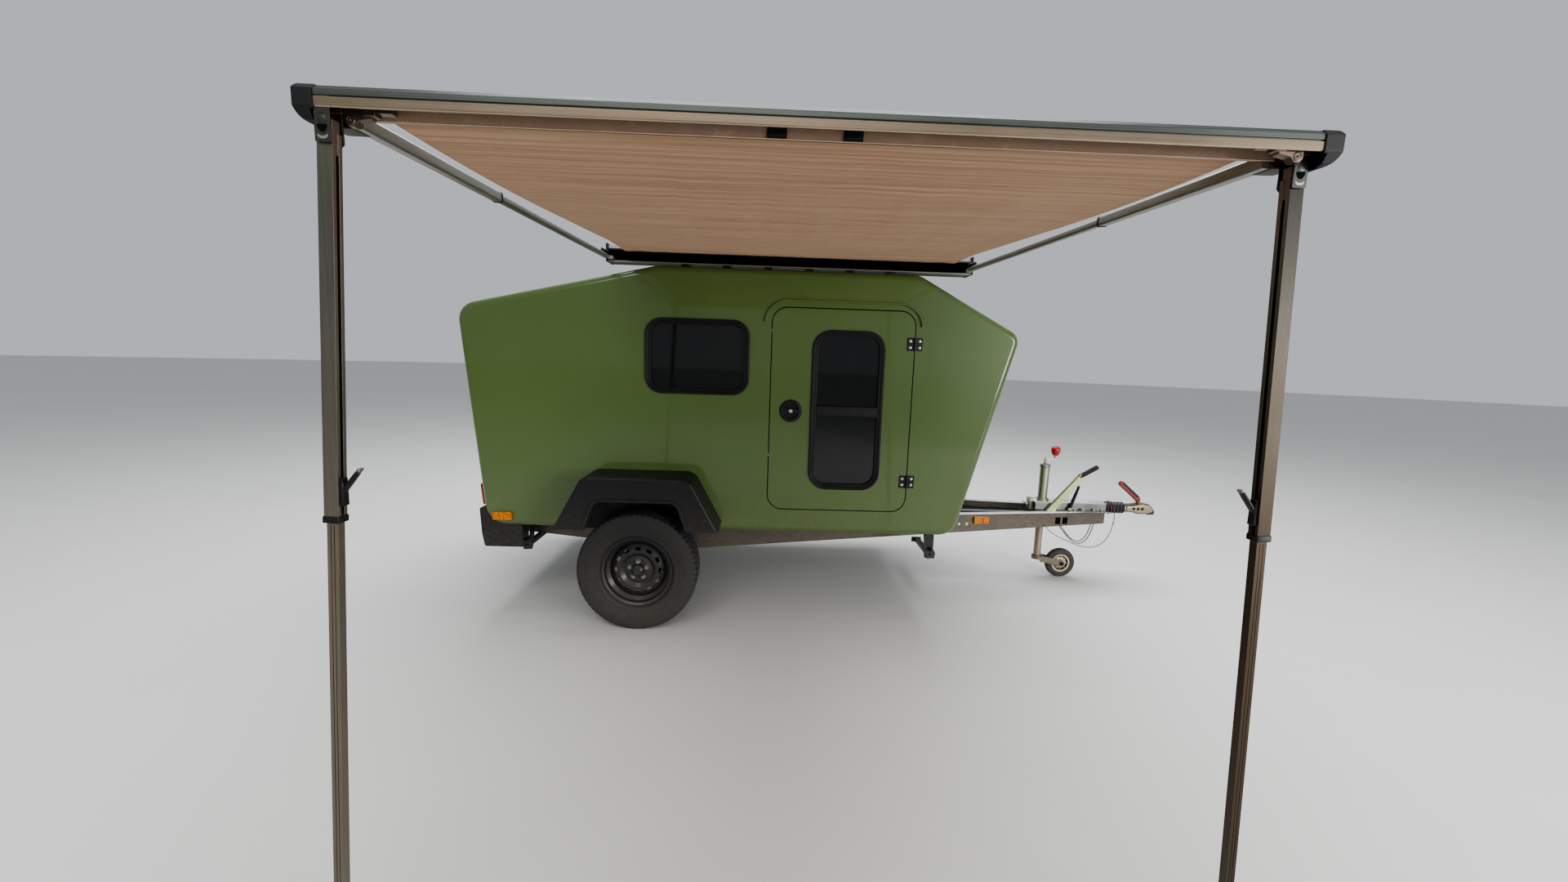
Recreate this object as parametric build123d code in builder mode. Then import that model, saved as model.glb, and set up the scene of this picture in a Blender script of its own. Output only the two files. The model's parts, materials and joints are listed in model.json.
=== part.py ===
"""Small angular sleeping trailer with a wind-out awning, parked on its jockey wheel.

Millimetres. The origin is the centre of the tow ball, +X points forward, +Z up, and the
right-hand side, where the awning hangs, is at -Y.
"""
from build123d import *
import os
from math import atan2, cos, hypot, pi, radians, sin, tan

os.makedirs("parts", exist_ok=True)

# Heights are given above the ground and turned into Z with up()
ball_height = 480.0
ground = -ball_height


def up(height):
    return ground + height


# Body: a hollow moulding of one wall thickness
body_half_width = 740.0
wall = 28.0
edge_radius = 35.0
roof_height = 1902.0
floor_height = 488.0
# Corners of the body seen from its right side: x, height, corner radius
body_corners = (
    (-4240.0, 1667.0, 100.0),
    (-3200.0, roof_height, 160.0),
    (-1819.0, roof_height, 120.0),
    (-1253.0, 1601.0, 70.0),
    (-1541.0, floor_height, 110.0),
    (-4121.0, floor_height, 120.0),
)
lower_seam = 600.0
upper_seam = 1530.0
seam_y = body_half_width - edge_radius

# Doors, one each side
door_back = -2591.0
door_front = -1828.0
door_low = 622.0
door_high = 1711.0
door_corner = 85.0
door_gap = 5.0
door_window_low = 740.0
door_window_high = 1600.0
door_window_width = 388.0
door_window_corner = 100.0
door_window_x = -2177.0
window_flange = 12.0
frame_proud = 8.0
frame_rim = 30.0
frame_bar = 55.0
pane_thickness = 5.0
latch_x = -2478.0
latch_height = 1165.0
latch_radius = 57.0
latch_proud = 9.0

# Drip rail over each door
drip_offset = 30.0
drip_width = 9.0
drip_proud = 12.0
drip_tail = 80.0

# Side windows
side_window_x = -2981.0
side_window_height = 1437.0
side_window_width = 552.0
side_window_tall = 396.0
side_window_corner = 90.0

# Hinges: leaf plates with a knuckle, the same on doors and hatch
hinge_leaf = 41.0
hinge_tall = 69.0
hinge_plate = 3.0
knuckle_radius = 6.0
pin_radius = 2.5
pin_clearance = 0.05
hinge_heights = (793.0, 1539.0)

# Tail hatch
hatch_low = 740.0
hatch_high = 1490.0
hatch_inset = 180.0
hatch_width = 2 * (body_half_width - hatch_inset)
hatch_corner = 80.0
hatch_hinge_y = hatch_width / 2 - hatch_inset

# Chassis
rail_wall = 4.0
rail_flange = 35.0
rail_front_x = -300.0
rail_front_y = 75.0
rail_front_tall = 83.0
rail_knee_x = -3100.0
rail_inset = 243.0
rail_knee_y = body_half_width - rail_inset
rail_knee_tall = 190.0
rail_end_x = -4060.0
rail_end_tall = 95.0
rail_window_places = (-644.0, -592.0)
rail_window_width = 38.0
rail_window_tall = 46.0
rail_window_height = 429.0
axle_room = 3.0

# Axle and wheels
axle_x = -3260.0
wheel_radius = 314.0
tyre_width = 195.0
wheel_offset = 120.0
track = 2 * (body_half_width + wheel_offset)
rim_radius = 178.0
axle_tube_x = -3120.0
axle_tube_height = 352.0
axle_tube_radius = 42.0
stub_radius = 17.0

# Mudguards
guard_depth = 230.0
guard_outer_y = body_half_width + guard_depth
guard_wall = 5.0
guard_top = 820.0
guard_low = 545.0
guard_half_top = 240.0
guard_knee = 282.0
guard_knee_height = 802.0
guard_half_low = 422.0
arch_top = 694.0
arch_half_top = 205.0
arch_half_low = 272.0
arch_lip = 14.0
lip_proud = 8.0

# Overrun housing, coupling, handbrake and jockey wheel on the drawbar
housing_back = -776.0
housing_front = -290.0
housing_half_width = 65.0
housing_top = 540.0
housing_wall = 5.0
housing_foot_back = -560.0
coupling_axis = 500.0
coupling_tube_radius = 25.0
bellows_front = -132.0
ball_radius = 25.0
jockey_x = -703.0
jockey_outer_radius = 30.0
jockey_outer_wall = 3.0
jockey_outer_low = 385.0
jockey_outer_top = 778.0
jockey_inner_radius = 24.0
jockey_inner_top = 640.0
jockey_inner_low = 150.0
jockey_wheel_x = -539.0
jockey_wheel_radius = 100.0
jockey_wheel_width = 50.0
jockey_axle_radius = 8.0

# Handbrake lever in side view: x, height
handbrake_y = -66.0
handbrake_width = 26.0
lever_foot = (-694.0, 470.0)
lever_top = (-484.0, 733.0)
grip_tip = (-386.0, 792.0)
strut_foot = (-548.0, 500.0)
strut_top = (-500.0, 650.0)
strut_radius = 8.0

# Corner steadies
steady_inset = 140.0
steady_y = body_half_width - steady_inset
steady_x = (-1632.0, -3960.0)
steady_pivot = 335.0
steady_length = 284.0
steady_thick = 26.0
steady_pin_radius = 6.0
hanger_wall = 5.0

# Cables hanging below the drawbar, by hand-chosen points: x, y, height
cable_radius = 3.0
breakaway_radius = 2.5
cable_routes = {
    "lower": ((-633, -66, 470), (-633, -66, 440), (-620, -66, 404), (-595, -64, 371), (-562, -62, 334),
              (-526, -59, 295), (-482, -55, 259), (-434, -51, 251), (-391, -47, 280), (-365, -44, 333),
              (-351, -43, 388), (-346, -43, 438), (-346, -43, 470)),
    "upper": ((-621, -57, 470), (-621, -57, 441), (-609, -57, 407), (-586, -55, 377), (-556, -53, 342),
              (-522, -50, 303), (-482, -46, 272), (-437, -42, 265), (-400, -38, 292), (-377, -35, 340),
              (-363, -34, 391), (-358, -34, 438), (-358, -34, 470)),
}
breakaway_route = (
    (-704, -79, 440), (-704, -79, 409), (-700, -85, 376), (-672, -92, 343), (-624, -95, 315),
    (-568, -95, 290), (-508, -95, 265), (-448, -94, 246), (-390, -94, 238), (-334, -94, 252),
    (-290, -93, 287), (-259, -88, 336), (-239, -77, 386), (-222, -62, 428), (-220, -52, 462),
)
# it then goes round the bellows: radius, pitch, x of the first turn, places round it
winding_radius = 45.0
winding_pitch = 18.0
winding_x = -222.0
winding_step = 30
winding_places = 17

# Awning on the right roof edge
awning_x = -2500.0
awning_half_length = 960.0
cap_length = 35.0
cassette_gap = 16.0
cassette_low = roof_height + cassette_gap
cassette_tall = 88.0
cassette_inset = 45.0
cassette_front_y = -(body_half_width - cassette_inset)
cassette_depth = 118.0
cassette_wall = 4.0
leg_offset = 912.0
leg_pivot_height = 1838.0
leg_splay = 3.2
leg_width = 28.0
leg_depth = 25.0
leg_wall = 2.5
leg_upper_length = 745.0
leg_overlap = 120.0
leg_slot = 8.0
awning_reach = 2060.0
lead_front_y = cassette_front_y - awning_reach
lead_depth = 70.0
lead_above_pivot = 24.0
lead_low = leg_pivot_height + lead_above_pivot
lead_tall = 38.0
lead_high = lead_low + lead_tall
lead_back_y = lead_front_y + lead_depth
lead_lip = 5.0
lead_wall = 4.0
lead_recess = 24.0
leg_ys = {"rear": lead_front_y + 19.0, "front": lead_front_y + 47.0}
fabric_half_width = 868.0
fabric_thickness = 2.0


def save(piece, name):
    piece.part.label = name
    export_step(piece.part, f"parts/{name}.step")


def save_both_sides(right, name):
    with BuildPart() as left:
        mirror(right.part, about=Plane.XZ)
    save(right, f"{name}_right")
    save(left, f"{name}_left")


def block(low, high, mode=Mode.ADD):
    """A box between two corners, the heights already as Z."""
    size = [b - a for a, b in zip(low, high)]
    middle = tuple((a + b) / 2 for a, b in zip(low, high))
    with Locations(middle):
        Box(*size, mode=mode)


# The body's outline and its solid and hollow forms
with BuildSketch(Plane.XZ) as body_outline:
    Polygon(*[(x, up(height)) for x, height, radius in body_corners], align=None)
    for x, height, radius in body_corners:
        fillet(body_outline.vertices().sort_by_distance((x, up(height)))[0], radius)

with BuildPart() as body_solid:
    extrude(body_outline.sketch, amount=body_half_width, both=True)
    rims = body_solid.faces().sort_by(Axis.Y)
    fillet(rims[0].edges() + rims[-1].edges(), edge_radius)

with BuildSketch(Plane.XZ) as cabin_outline:
    add(body_outline.sketch_local)
    offset(amount=-wall, mode=Mode.REPLACE)

with BuildPart() as body_shell:
    add(body_solid.part)
    extrude(cabin_outline.sketch, amount=body_half_width - wall, both=True, mode=Mode.SUBTRACT)

x_limits = (-5000.0, 1000.0)
above_all = up(2 * roof_height)

# Planes on the outside of the right wall and of the tail
right_wall = Plane(origin=(0, -body_half_width, 0), x_dir=(1, 0, 0), z_dir=(0, -1, 0))
tail_top_x, tail_top_height, _ = body_corners[0]
tail_foot_x, tail_foot_height, _ = body_corners[5]
tail_length = hypot(tail_top_x - tail_foot_x, tail_top_height - tail_foot_height)
tail_up = ((tail_top_x - tail_foot_x) / tail_length, (tail_top_height - tail_foot_height) / tail_length)
tail_out = (-tail_up[1], tail_up[0])
tail_plane = Plane(origin=(tail_foot_x, 0, up(tail_foot_height)), x_dir=(0, -1, 0),
                   z_dir=(tail_out[0], 0, tail_out[1]))


def along_tail(height):
    return (height - tail_foot_height) / tail_up[1]


door_width = door_front - door_back
door_tall = door_high - door_low
door_x = (door_front + door_back) / 2
door_middle = (door_low + door_high) / 2
door_window_tall = door_window_high - door_window_low
door_window_middle = (door_window_low + door_window_high) / 2
hatch_middle = (along_tail(hatch_low) + along_tail(hatch_high)) / 2
hatch_tall = along_tail(hatch_high) - along_tail(hatch_low)

# Side walls, with door and window openings and the drip rail over the door
with BuildPart() as side_wall:
    add(body_shell.part)
    block((x_limits[0], -body_half_width, ground), (x_limits[1], -seam_y, above_all), Mode.INTERSECT)
    with BuildSketch(right_wall):
        with Locations((door_x, up(door_middle))):
            RectangleRounded(door_width + door_gap, door_tall + door_gap, door_corner)
        with Locations((side_window_x, up(side_window_height))):
            RectangleRounded(side_window_width - 2 * window_flange,
                             side_window_tall - 2 * window_flange,
                             side_window_corner - window_flange)
    extrude(amount=-2 * edge_radius, mode=Mode.SUBTRACT)
    with BuildSketch(right_wall):
        with Locations((door_x, up(door_middle))):
            RectangleRounded(door_width + 2 * (drip_offset + drip_width),
                             door_tall + 2 * (drip_offset + drip_width),
                             door_corner + drip_offset + drip_width)
            RectangleRounded(door_width + 2 * drip_offset, door_tall + 2 * drip_offset,
                             door_corner + drip_offset, mode=Mode.SUBTRACT)
        with Locations((door_x, up(door_high - drip_tail - door_tall))):
            Rectangle(2 * door_width, 2 * door_tall, mode=Mode.SUBTRACT)
    extrude(amount=drip_proud)
save_both_sides(side_wall, "side_wall")

# Floor pan, nose panel and roof shell
with BuildPart() as floor_pan:
    add(body_shell.part)
    block((x_limits[0], -seam_y, ground), (x_limits[1], seam_y, up(lower_seam)), Mode.INTERSECT)
save(floor_pan, "floor_pan")

with BuildPart() as nose_panel:
    add(body_shell.part)
    block((awning_x, -seam_y, up(lower_seam)), (x_limits[1], seam_y, up(upper_seam)), Mode.INTERSECT)
save(nose_panel, "nose_panel")

with BuildPart() as roof_shell:
    add(body_shell.part)
    block((x_limits[0], -seam_y, up(upper_seam)), (x_limits[1], seam_y, above_all), Mode.INTERSECT)
save(roof_shell, "roof_shell")

# Tail panel with its hatch opening
with BuildPart() as tail_panel:
    add(body_shell.part)
    block((x_limits[0], -seam_y, up(lower_seam)), (awning_x, seam_y, up(upper_seam)), Mode.INTERSECT)
    with BuildSketch(tail_plane):
        with Locations((0, hatch_middle)):
            RectangleRounded(hatch_width + 2 * door_gap, hatch_tall + 2 * door_gap,
                             hatch_corner + door_gap)
    extrude(amount=-2 * wall, mode=Mode.SUBTRACT)
save(tail_panel, "tail_panel")


def hinge_barrel(plane, radius, first, last, mode=Mode.ADD):
    """A round length on the hinge line of a plane, between two places along it."""
    with BuildSketch(Plane(origin=plane.from_local_coords((0, first, knuckle_radius)),
                           x_dir=plane.x_dir, z_dir=plane.y_dir)) as barrel:
        Circle(radius)
    extrude(barrel.sketch, amount=last - first, mode=mode)


def fixed_leaf(plane):
    """Leaf on the body: outer knuckles, plate and pin. The plane's x points at the body's side."""
    third = hinge_tall / 6
    for first, last in ((-3 * third, -third), (third, 3 * third)):
        hinge_barrel(plane, knuckle_radius, first, last)
    with BuildSketch(plane) as plate:
        with Locations((hinge_leaf / 2, 0)):
            Rectangle(hinge_leaf, hinge_tall)
        Rectangle(2 * (knuckle_radius + 0.5), 2 * third, mode=Mode.SUBTRACT)
    extrude(plate.sketch, amount=hinge_plate)
    hinge_barrel(plane, pin_radius, -2 * third, 2 * third)


def moving_leaf(plane):
    """Leaf on the door: middle knuckle and plate."""
    third = hinge_tall / 6
    hinge_barrel(plane, knuckle_radius, -third + 0.3, third - 0.3)
    with BuildSketch(plane) as plate:
        with Locations((-hinge_leaf / 2, 0)):
            Rectangle(hinge_leaf, hinge_tall)
        for side in (-1, 1):
            with Locations((0, side * 2 * third)):
                Rectangle(2 * (knuckle_radius + 0.5), 2 * third + 0.6, mode=Mode.SUBTRACT)
    extrude(plate.sketch, amount=hinge_plate)
    hinge_barrel(plane, pin_radius + pin_clearance, -hinge_tall, hinge_tall, Mode.SUBTRACT)


door_hinges = [Plane(origin=(door_front, -body_half_width, up(height)), x_dir=(1, 0, 0), z_dir=(0, -1, 0))
               for height in hinge_heights]
hatch_hinge_line = along_tail(hatch_high) + door_gap / 2
hatch_hinges = [Plane(origin=tail_plane.from_local_coords((side * hatch_hinge_y, hatch_hinge_line, 0)),
                      x_dir=(tail_up[0], 0, tail_up[1]), z_dir=(tail_out[0], 0, tail_out[1]))
                for side in (-1, 1)]

with BuildPart() as hinge_leaves:
    for plane in door_hinges:
        fixed_leaf(plane)
    mirror(about=Plane.XZ)
    for plane in hatch_hinges:
        fixed_leaf(plane)
save(hinge_leaves, "body_hinge_leaves")

# Doors with their window openings, window frames, panes, latches and hinge leaves
with BuildPart() as door:
    with BuildSketch(right_wall):
        with Locations((door_x, up(door_middle))):
            RectangleRounded(door_width - door_gap, door_tall - door_gap, door_corner - door_gap)
        with Locations((door_window_x, up(door_window_middle))):
            RectangleRounded(door_window_width - 2 * window_flange,
                             door_window_tall - 2 * window_flange,
                             door_window_corner - window_flange, mode=Mode.SUBTRACT)
        with Locations((latch_x, up(latch_height))):
            Circle(latch_radius - window_flange, mode=Mode.SUBTRACT)
    extrude(amount=-wall)
save_both_sides(door, "door")


def window_frame(x, height, width, tall, corner, bar):
    """Flanged frame on the right wall: a stepped rim outside, a neck through the wall."""
    with BuildSketch(right_wall) as flange:
        with Locations((x, up(height))):
            RectangleRounded(width, tall, corner)
            RectangleRounded(width - frame_rim, tall - frame_rim, corner - frame_rim / 2,
                             mode=Mode.SUBTRACT)
    extrude(flange.sketch, amount=frame_proud)
    with BuildSketch(right_wall.offset(frame_proud / 2)) as neck:
        with Locations((x, up(height))):
            RectangleRounded(width - 2 * window_flange, tall - 2 * window_flange,
                             corner - window_flange)
            RectangleRounded(width - 2 * frame_rim, tall - 2 * frame_rim, corner - frame_rim,
                             mode=Mode.SUBTRACT)
            if bar:
                Rectangle(width - 2 * frame_rim + 2, bar)
    extrude(neck.sketch, amount=-wall - frame_proud / 2)


with BuildPart() as door_frame:
    window_frame(door_window_x, door_window_middle, door_window_width, door_window_tall,
                 door_window_corner, frame_bar)
save_both_sides(door_frame, "door_window_frame")

pane_width = door_window_width - 2 * frame_rim
pane_corner = door_window_corner - frame_rim
with BuildPart() as door_panes:
    with BuildSketch(right_wall.offset(-wall / 2)):
        with Locations((door_window_x, up(door_window_middle))):
            RectangleRounded(pane_width, door_window_tall - 2 * frame_rim, pane_corner)
            Rectangle(pane_width + 10, frame_bar, mode=Mode.SUBTRACT)
    extrude(amount=pane_thickness)
save_both_sides(door_panes, "door_panes")

with BuildPart() as door_fittings:
    with BuildSketch(right_wall):
        with Locations((latch_x, up(latch_height))):
            Circle(latch_radius)
    extrude(amount=latch_proud)
    with BuildSketch(right_wall):
        with Locations((latch_x, up(latch_height))):
            Circle(latch_radius - window_flange)
    extrude(amount=-wall)
    rim = door_fittings.faces().sort_by(Axis.Y)[0].edges()
    fillet(rim, 5)
    with BuildSketch(right_wall.offset(latch_proud)):
        with Locations((latch_x, up(latch_height))):
            Circle(latch_radius - 14)
            Rectangle(2 * latch_radius, 26, mode=Mode.SUBTRACT)
    extrude(amount=-latch_proud - 8, mode=Mode.SUBTRACT)
    for plane in door_hinges:
        moving_leaf(plane)
save_both_sides(door_fittings, "door_fittings")

with BuildPart() as side_frames:
    window_frame(side_window_x, side_window_height, side_window_width, side_window_tall,
                 side_window_corner, 0)
    mirror(about=Plane.XZ)
save(side_frames, "side_window_frames")

with BuildPart() as side_panes:
    with BuildSketch(right_wall.offset(-wall / 2)):
        with Locations((side_window_x, up(side_window_height))):
            RectangleRounded(side_window_width - 2 * frame_rim, side_window_tall - 2 * frame_rim,
                             side_window_corner - frame_rim)
    extrude(amount=pane_thickness)
    mirror(about=Plane.XZ)
save(side_panes, "side_window_panes")

# Tail hatch with its moving hinge leaves and handle
with BuildPart() as hatch:
    with BuildSketch(tail_plane):
        with Locations((0, hatch_middle)):
            RectangleRounded(hatch_width, hatch_tall, hatch_corner)
    extrude(amount=-wall)
save(hatch, "hatch")

hatch_handle_width = 150.0
hatch_handle_tall = 46.0
hatch_handle_rise = 70.0
with BuildPart() as hatch_fittings:
    for plane in hatch_hinges:
        moving_leaf(plane)
    with BuildSketch(tail_plane):
        with Locations((0, along_tail(hatch_low) + hatch_handle_rise)):
            RectangleRounded(hatch_handle_width, hatch_handle_tall, 15)
    extrude(amount=14)
    handle_area = hatch_handle_width * hatch_handle_tall
    large_faces = hatch_fittings.faces().filter_by(lambda f: f.area > 0.6 * handle_area)
    fillet(large_faces.sort_by(Axis.X)[0].edges(), 6)
save(hatch_fittings, "hatch_fittings")

# Tail lamps, amber markers, blank number plate and rear bumper
lamp_width = 90.0
lamp_tall = 120.0
lamp_proud = 24.0
lamp_inset = 92.0
lamp_y = body_half_width - lamp_inset
lamp_height = 652.0
with BuildPart() as tail_lamps:
    with BuildSketch(tail_plane):
        for side in (-1, 1):
            with Locations((side * lamp_y, along_tail(lamp_height))):
                RectangleRounded(lamp_width, lamp_tall, 12)
    extrude(amount=lamp_proud)
    fillet(tail_lamps.faces().sort_by(Axis.X)[:2].edges(), 6)
save(tail_lamps, "tail_lamps")

plate_width = 520.0
plate_tall = 110.0
plate_height = 666.0
with BuildPart() as number_plate:
    with BuildSketch(tail_plane):
        with Locations((0, along_tail(plate_height))):
            RectangleRounded(plate_width, plate_tall, 8)
    extrude(amount=6)
save(number_plate, "number_plate")

marker_long = 104.0
marker_tall = 44.0
marker_proud = 14.0
side_marker_x = -4027.0
side_marker_height = 546.0
rail_angle = atan2(rail_knee_y - rail_front_y, rail_front_x - rail_knee_x)
rail_run = hypot(rail_knee_y - rail_front_y, rail_front_x - rail_knee_x)
right_rail_plane = Plane(origin=(rail_front_x, -rail_front_y, up(floor_height)),
                         x_dir=(-cos(rail_angle), -sin(rail_angle), 0),
                         z_dir=(sin(rail_angle), -cos(rail_angle), 0))
rail_marker_along = 905.0
with BuildPart() as markers:
    with BuildSketch(right_wall):
        with Locations((side_marker_x, up(side_marker_height))):
            RectangleRounded(marker_long, marker_tall, 6)
    extrude(amount=marker_proud)
    with BuildSketch(right_rail_plane):
        with Locations((rail_marker_along, 44)):
            RectangleRounded(marker_long, marker_tall, 6)
    extrude(amount=marker_proud)
    mirror(about=Plane.XZ)
save(markers, "amber_markers")

bumper_wall = 6.0
bumper_inset = 12.0
bumper_half_width = body_half_width - bumper_inset
bumper_back = -4158.0
bumper_front = -3930.0
bumper_high = 585.0
bumper_low = 366.0
bumper_bend = 440.0
with BuildPart() as bumper:
    with BuildSketch(Plane.XZ):
        with BuildLine():
            Polyline((bumper_back, up(bumper_high)), (bumper_back + 8, up(bumper_bend)),
                     (bumper_back + 22, up(bumper_low)), (bumper_front, up(bumper_low)),
                     (bumper_front, up(floor_height)),
                     (bumper_back + 98, up(bumper_high)), close=True)
        make_face()
    extrude(amount=bumper_half_width, both=True)
    fillet(bumper.edges().filter_by(Axis.Y).group_by(Axis.X)[0:3], 12)
    with BuildSketch(Plane.XZ):
        with BuildLine():
            inside = bumper_back + bumper_wall
            Polyline((inside + 2, up(bumper_high - 15)), (inside + 10, up(bumper_bend)),
                     (inside + 24, up(bumper_low)), (inside + 24, up(bumper_low - 60)),
                     (bumper_front + 30, up(bumper_low - 60)),
                     (bumper_front + 30, up(bumper_high - 15)), close=True)
        make_face()
    extrude(amount=bumper_half_width - bumper_wall, both=True, mode=Mode.SUBTRACT)
    add(body_solid.part, mode=Mode.SUBTRACT)
save(bumper, "rear_bumper")

# Chassis rails: folded channels, open inwards, deepest at the axle


def rail_outline(inset):
    """Side view of the drawbar part of a rail in its own plane: along the rail, down from its top."""
    bottom_slope = (rail_knee_tall - rail_front_tall) / rail_run
    return ((-inset, inset), (rail_run + 2 * inset, inset),
            (rail_run + 2 * inset, rail_knee_tall + bottom_slope * 2 * inset - inset),
            (-inset, rail_front_tall - inset))


with BuildPart() as rails:
    # drawbar part, with two windows beside the jockey clamp
    with BuildSketch(right_rail_plane):
        Polygon(*rail_outline(0), align=None)
        for x in rail_window_places:
            with Locations(((rail_front_x - x) / cos(rail_angle), floor_height - rail_window_height)):
                Rectangle(rail_window_width, rail_window_tall, mode=Mode.SUBTRACT)
    extrude(amount=-rail_flange)
    with BuildSketch(right_rail_plane.offset(-rail_wall)):
        Polygon(*rail_outline(rail_wall), align=None)
    extrude(amount=-rail_flange, mode=Mode.SUBTRACT)
    # parallel part behind the axle
    knee_plane = Plane(origin=(rail_knee_x, -rail_knee_y, up(floor_height)),
                       x_dir=(-1, 0, 0), z_dir=(0, -1, 0))
    back_run = rail_knee_x - rail_end_x
    with BuildSketch(knee_plane):
        Polygon((0, 0), (back_run, 0), (back_run, rail_end_tall), (0, rail_knee_tall), align=None)
    extrude(amount=-rail_flange)
    with BuildSketch(knee_plane.offset(-rail_wall)):
        Polygon((-rail_wall, rail_wall), (back_run + rail_wall, rail_wall),
                (back_run + rail_wall, rail_end_tall - rail_wall),
                (-rail_wall, rail_knee_tall - rail_wall), align=None)
    extrude(amount=-rail_flange, mode=Mode.SUBTRACT)
    # room for the axle tube
    with BuildSketch(Plane.XZ.offset(rail_knee_y - 2 * rail_flange)):
        with Locations((axle_tube_x, up(axle_tube_height))):
            Circle(axle_tube_radius + axle_room)
    extrude(amount=3 * rail_flange, mode=Mode.SUBTRACT)
    mirror(about=Plane.XZ)
save(rails, "chassis_rails")


def rail_y(x):
    """Outer face of a rail at a place along the trailer."""
    if x < rail_knee_x:
        return rail_knee_y
    return rail_front_y + (rail_front_x - x) * (rail_knee_y - rail_front_y) / (rail_front_x - rail_knee_x)


# Cross members between the rails: x, depth fore and aft, height of the member
cross_members = (
    (-1490.0, 40.0, 90.0),
    (-2300.0, 40.0, 90.0),
    (-4035.0, 40.0, 80.0),
)
brake_rod_height = 455.0
with BuildPart() as crosses:
    for x, deep, tall in cross_members:
        half = rail_y(x + deep / 2) - rail_flange / cos(rail_angle)
        block((x - deep / 2, -half, up(floor_height - tall)), (x + deep / 2, half, up(floor_height)))
    with BuildSketch(Plane.YZ.offset(x_limits[0])):
        with Locations((0, up(brake_rod_height))):
            Circle(12)
    extrude(amount=x_limits[1] - x_limits[0], mode=Mode.SUBTRACT)
save(crosses, "cross_members")

# Axle: tube, hangers, swing arms, brake backplates and stub pins
hub_y = track / 2
arm_inset = 120.0
arm_y = body_half_width - arm_inset
arm_thick = 34.0
hanger_plate = 10.0
stub_reach = 10.0
drum_radius = 110.0
drum_depth = 90.0
backplate_thick = 5.0
backplate_y = hub_y - drum_depth - 2 * backplate_thick
with BuildPart() as axle:
    with BuildSketch(Plane.XZ):
        with Locations((axle_tube_x, up(axle_tube_height))):
            RegularPolygon(axle_tube_radius, 6)
    extrude(amount=arm_y, both=True)
    for side in (-1, 1):
        # hanger plate on the rail's outer face
        near, far = sorted((side * rail_knee_y, side * (rail_knee_y + hanger_plate)))
        block((axle_tube_x - 70, near, up(axle_tube_height - axle_tube_radius)),
              (rail_knee_x, far, up(floor_height)))
        with BuildSketch(Plane(origin=(0, side * arm_y, 0), x_dir=(1, 0, 0), z_dir=(0, -1, 0))):
            with Locations((axle_tube_x, up(axle_tube_height))):
                Circle(52)
            with Locations((axle_x, up(wheel_radius))):
                Circle(38)
            Polygon((axle_tube_x, up(axle_tube_height + 40)), (axle_x, up(wheel_radius + 34)),
                    (axle_x, up(wheel_radius - 34)), (axle_tube_x, up(axle_tube_height - 44)), align=None)
        extrude(amount=-side * arm_thick)
        # shoulder, brake backplate and stub, outwards from the arm: radius, start, end as |y|
        for radius, start, end in ((stub_radius + 8, arm_y, backplate_y),
                                   (drum_radius + 2, backplate_y, backplate_y + backplate_thick),
                                   (stub_radius, backplate_y, hub_y + stub_reach)):
            with BuildSketch(Plane(origin=(axle_x, side * start, up(wheel_radius)),
                                   x_dir=(1, 0, 0), z_dir=(0, side, 0))):
                Circle(radius)
            extrude(amount=end - start)
    with BuildSketch(Plane.YZ.offset(housing_back)):
        with Locations((0, up(brake_rod_height))):
            Circle(6)
    extrude(amount=-(housing_back - axle_tube_x - 20))
    block((axle_tube_x - 10, -8, up(axle_tube_height)), (axle_tube_x + 24, 8, up(brake_rod_height + 8)))
save(axle, "axle")

# Wheels: steel rim with brake drum, and tyre
wheel_centre = (axle_x, -track / 2, up(wheel_radius))
wheel_axis = Axis(wheel_centre, (0, 1, 0))
wheel_section = Plane(origin=wheel_centre, x_dir=(1, 0, 0), z_dir=(0, 0, 1))
bead = 70.0
# Half sections as (radius, distance inwards from the wheel's middle)
rim_barrel = (
    (rim_radius + 8, -bead - 4), (rim_radius + 8, -bead), (rim_radius - 2, -bead + 4),
    (rim_radius - 6, -42), (rim_radius - 24, -28), (rim_radius - 24, 26), (rim_radius - 6, 44),
    (rim_radius - 2, bead - 4), (rim_radius + 8, bead), (rim_radius + 8, bead + 4),
    (rim_radius + 3, bead + 4), (rim_radius - 8, bead - 2), (rim_radius - 12, 48),
    (rim_radius - 30, 30), (rim_radius - 30, -31), (rim_radius - 12, -46),
    (rim_radius - 8, -bead + 2), (rim_radius + 3, -bead - 4),
)
rim_disc = (
    (rim_radius - 28, -16), (rim_radius - 40, -28), (rim_radius - 62, -46), (rim_radius - 84, -48),
    (rim_radius - 104, -34), (56, -40), (32, -40), (32, -33), (56, -33), (rim_radius - 102, -27),
    (rim_radius - 82, -41), (rim_radius - 64, -39), (rim_radius - 44, -22), (rim_radius - 28, -9),
)
hub_section = (
    (0, -68), (20, -68), (30, -60), (34, -50), (34, drum_depth), (stub_radius + pin_clearance, drum_depth),
    (stub_radius + pin_clearance, -stub_reach - 2), (0, -stub_reach - 2),
)
drum_section = (
    (32, 14), (drum_radius - 6, 14), (drum_radius, 20), (drum_radius, drum_depth),
    (drum_radius - 6, drum_depth), (drum_radius - 6, 22), (32, 22),
)
with BuildPart() as rim:
    with BuildSketch(wheel_section):
        for section in (rim_barrel, rim_disc, hub_section, drum_section):
            Polygon(*section, align=None)
    revolve(axis=wheel_axis)
    with BuildSketch(Plane(origin=wheel_centre, x_dir=(1, 0, 0), z_dir=(0, -1, 0))):
        with PolarLocations(rim_radius - 62, 12):
            SlotOverall(30, 17, rotation=90)
    extrude(amount=120, mode=Mode.SUBTRACT)
save_both_sides(rim, "wheel_rim")

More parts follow.
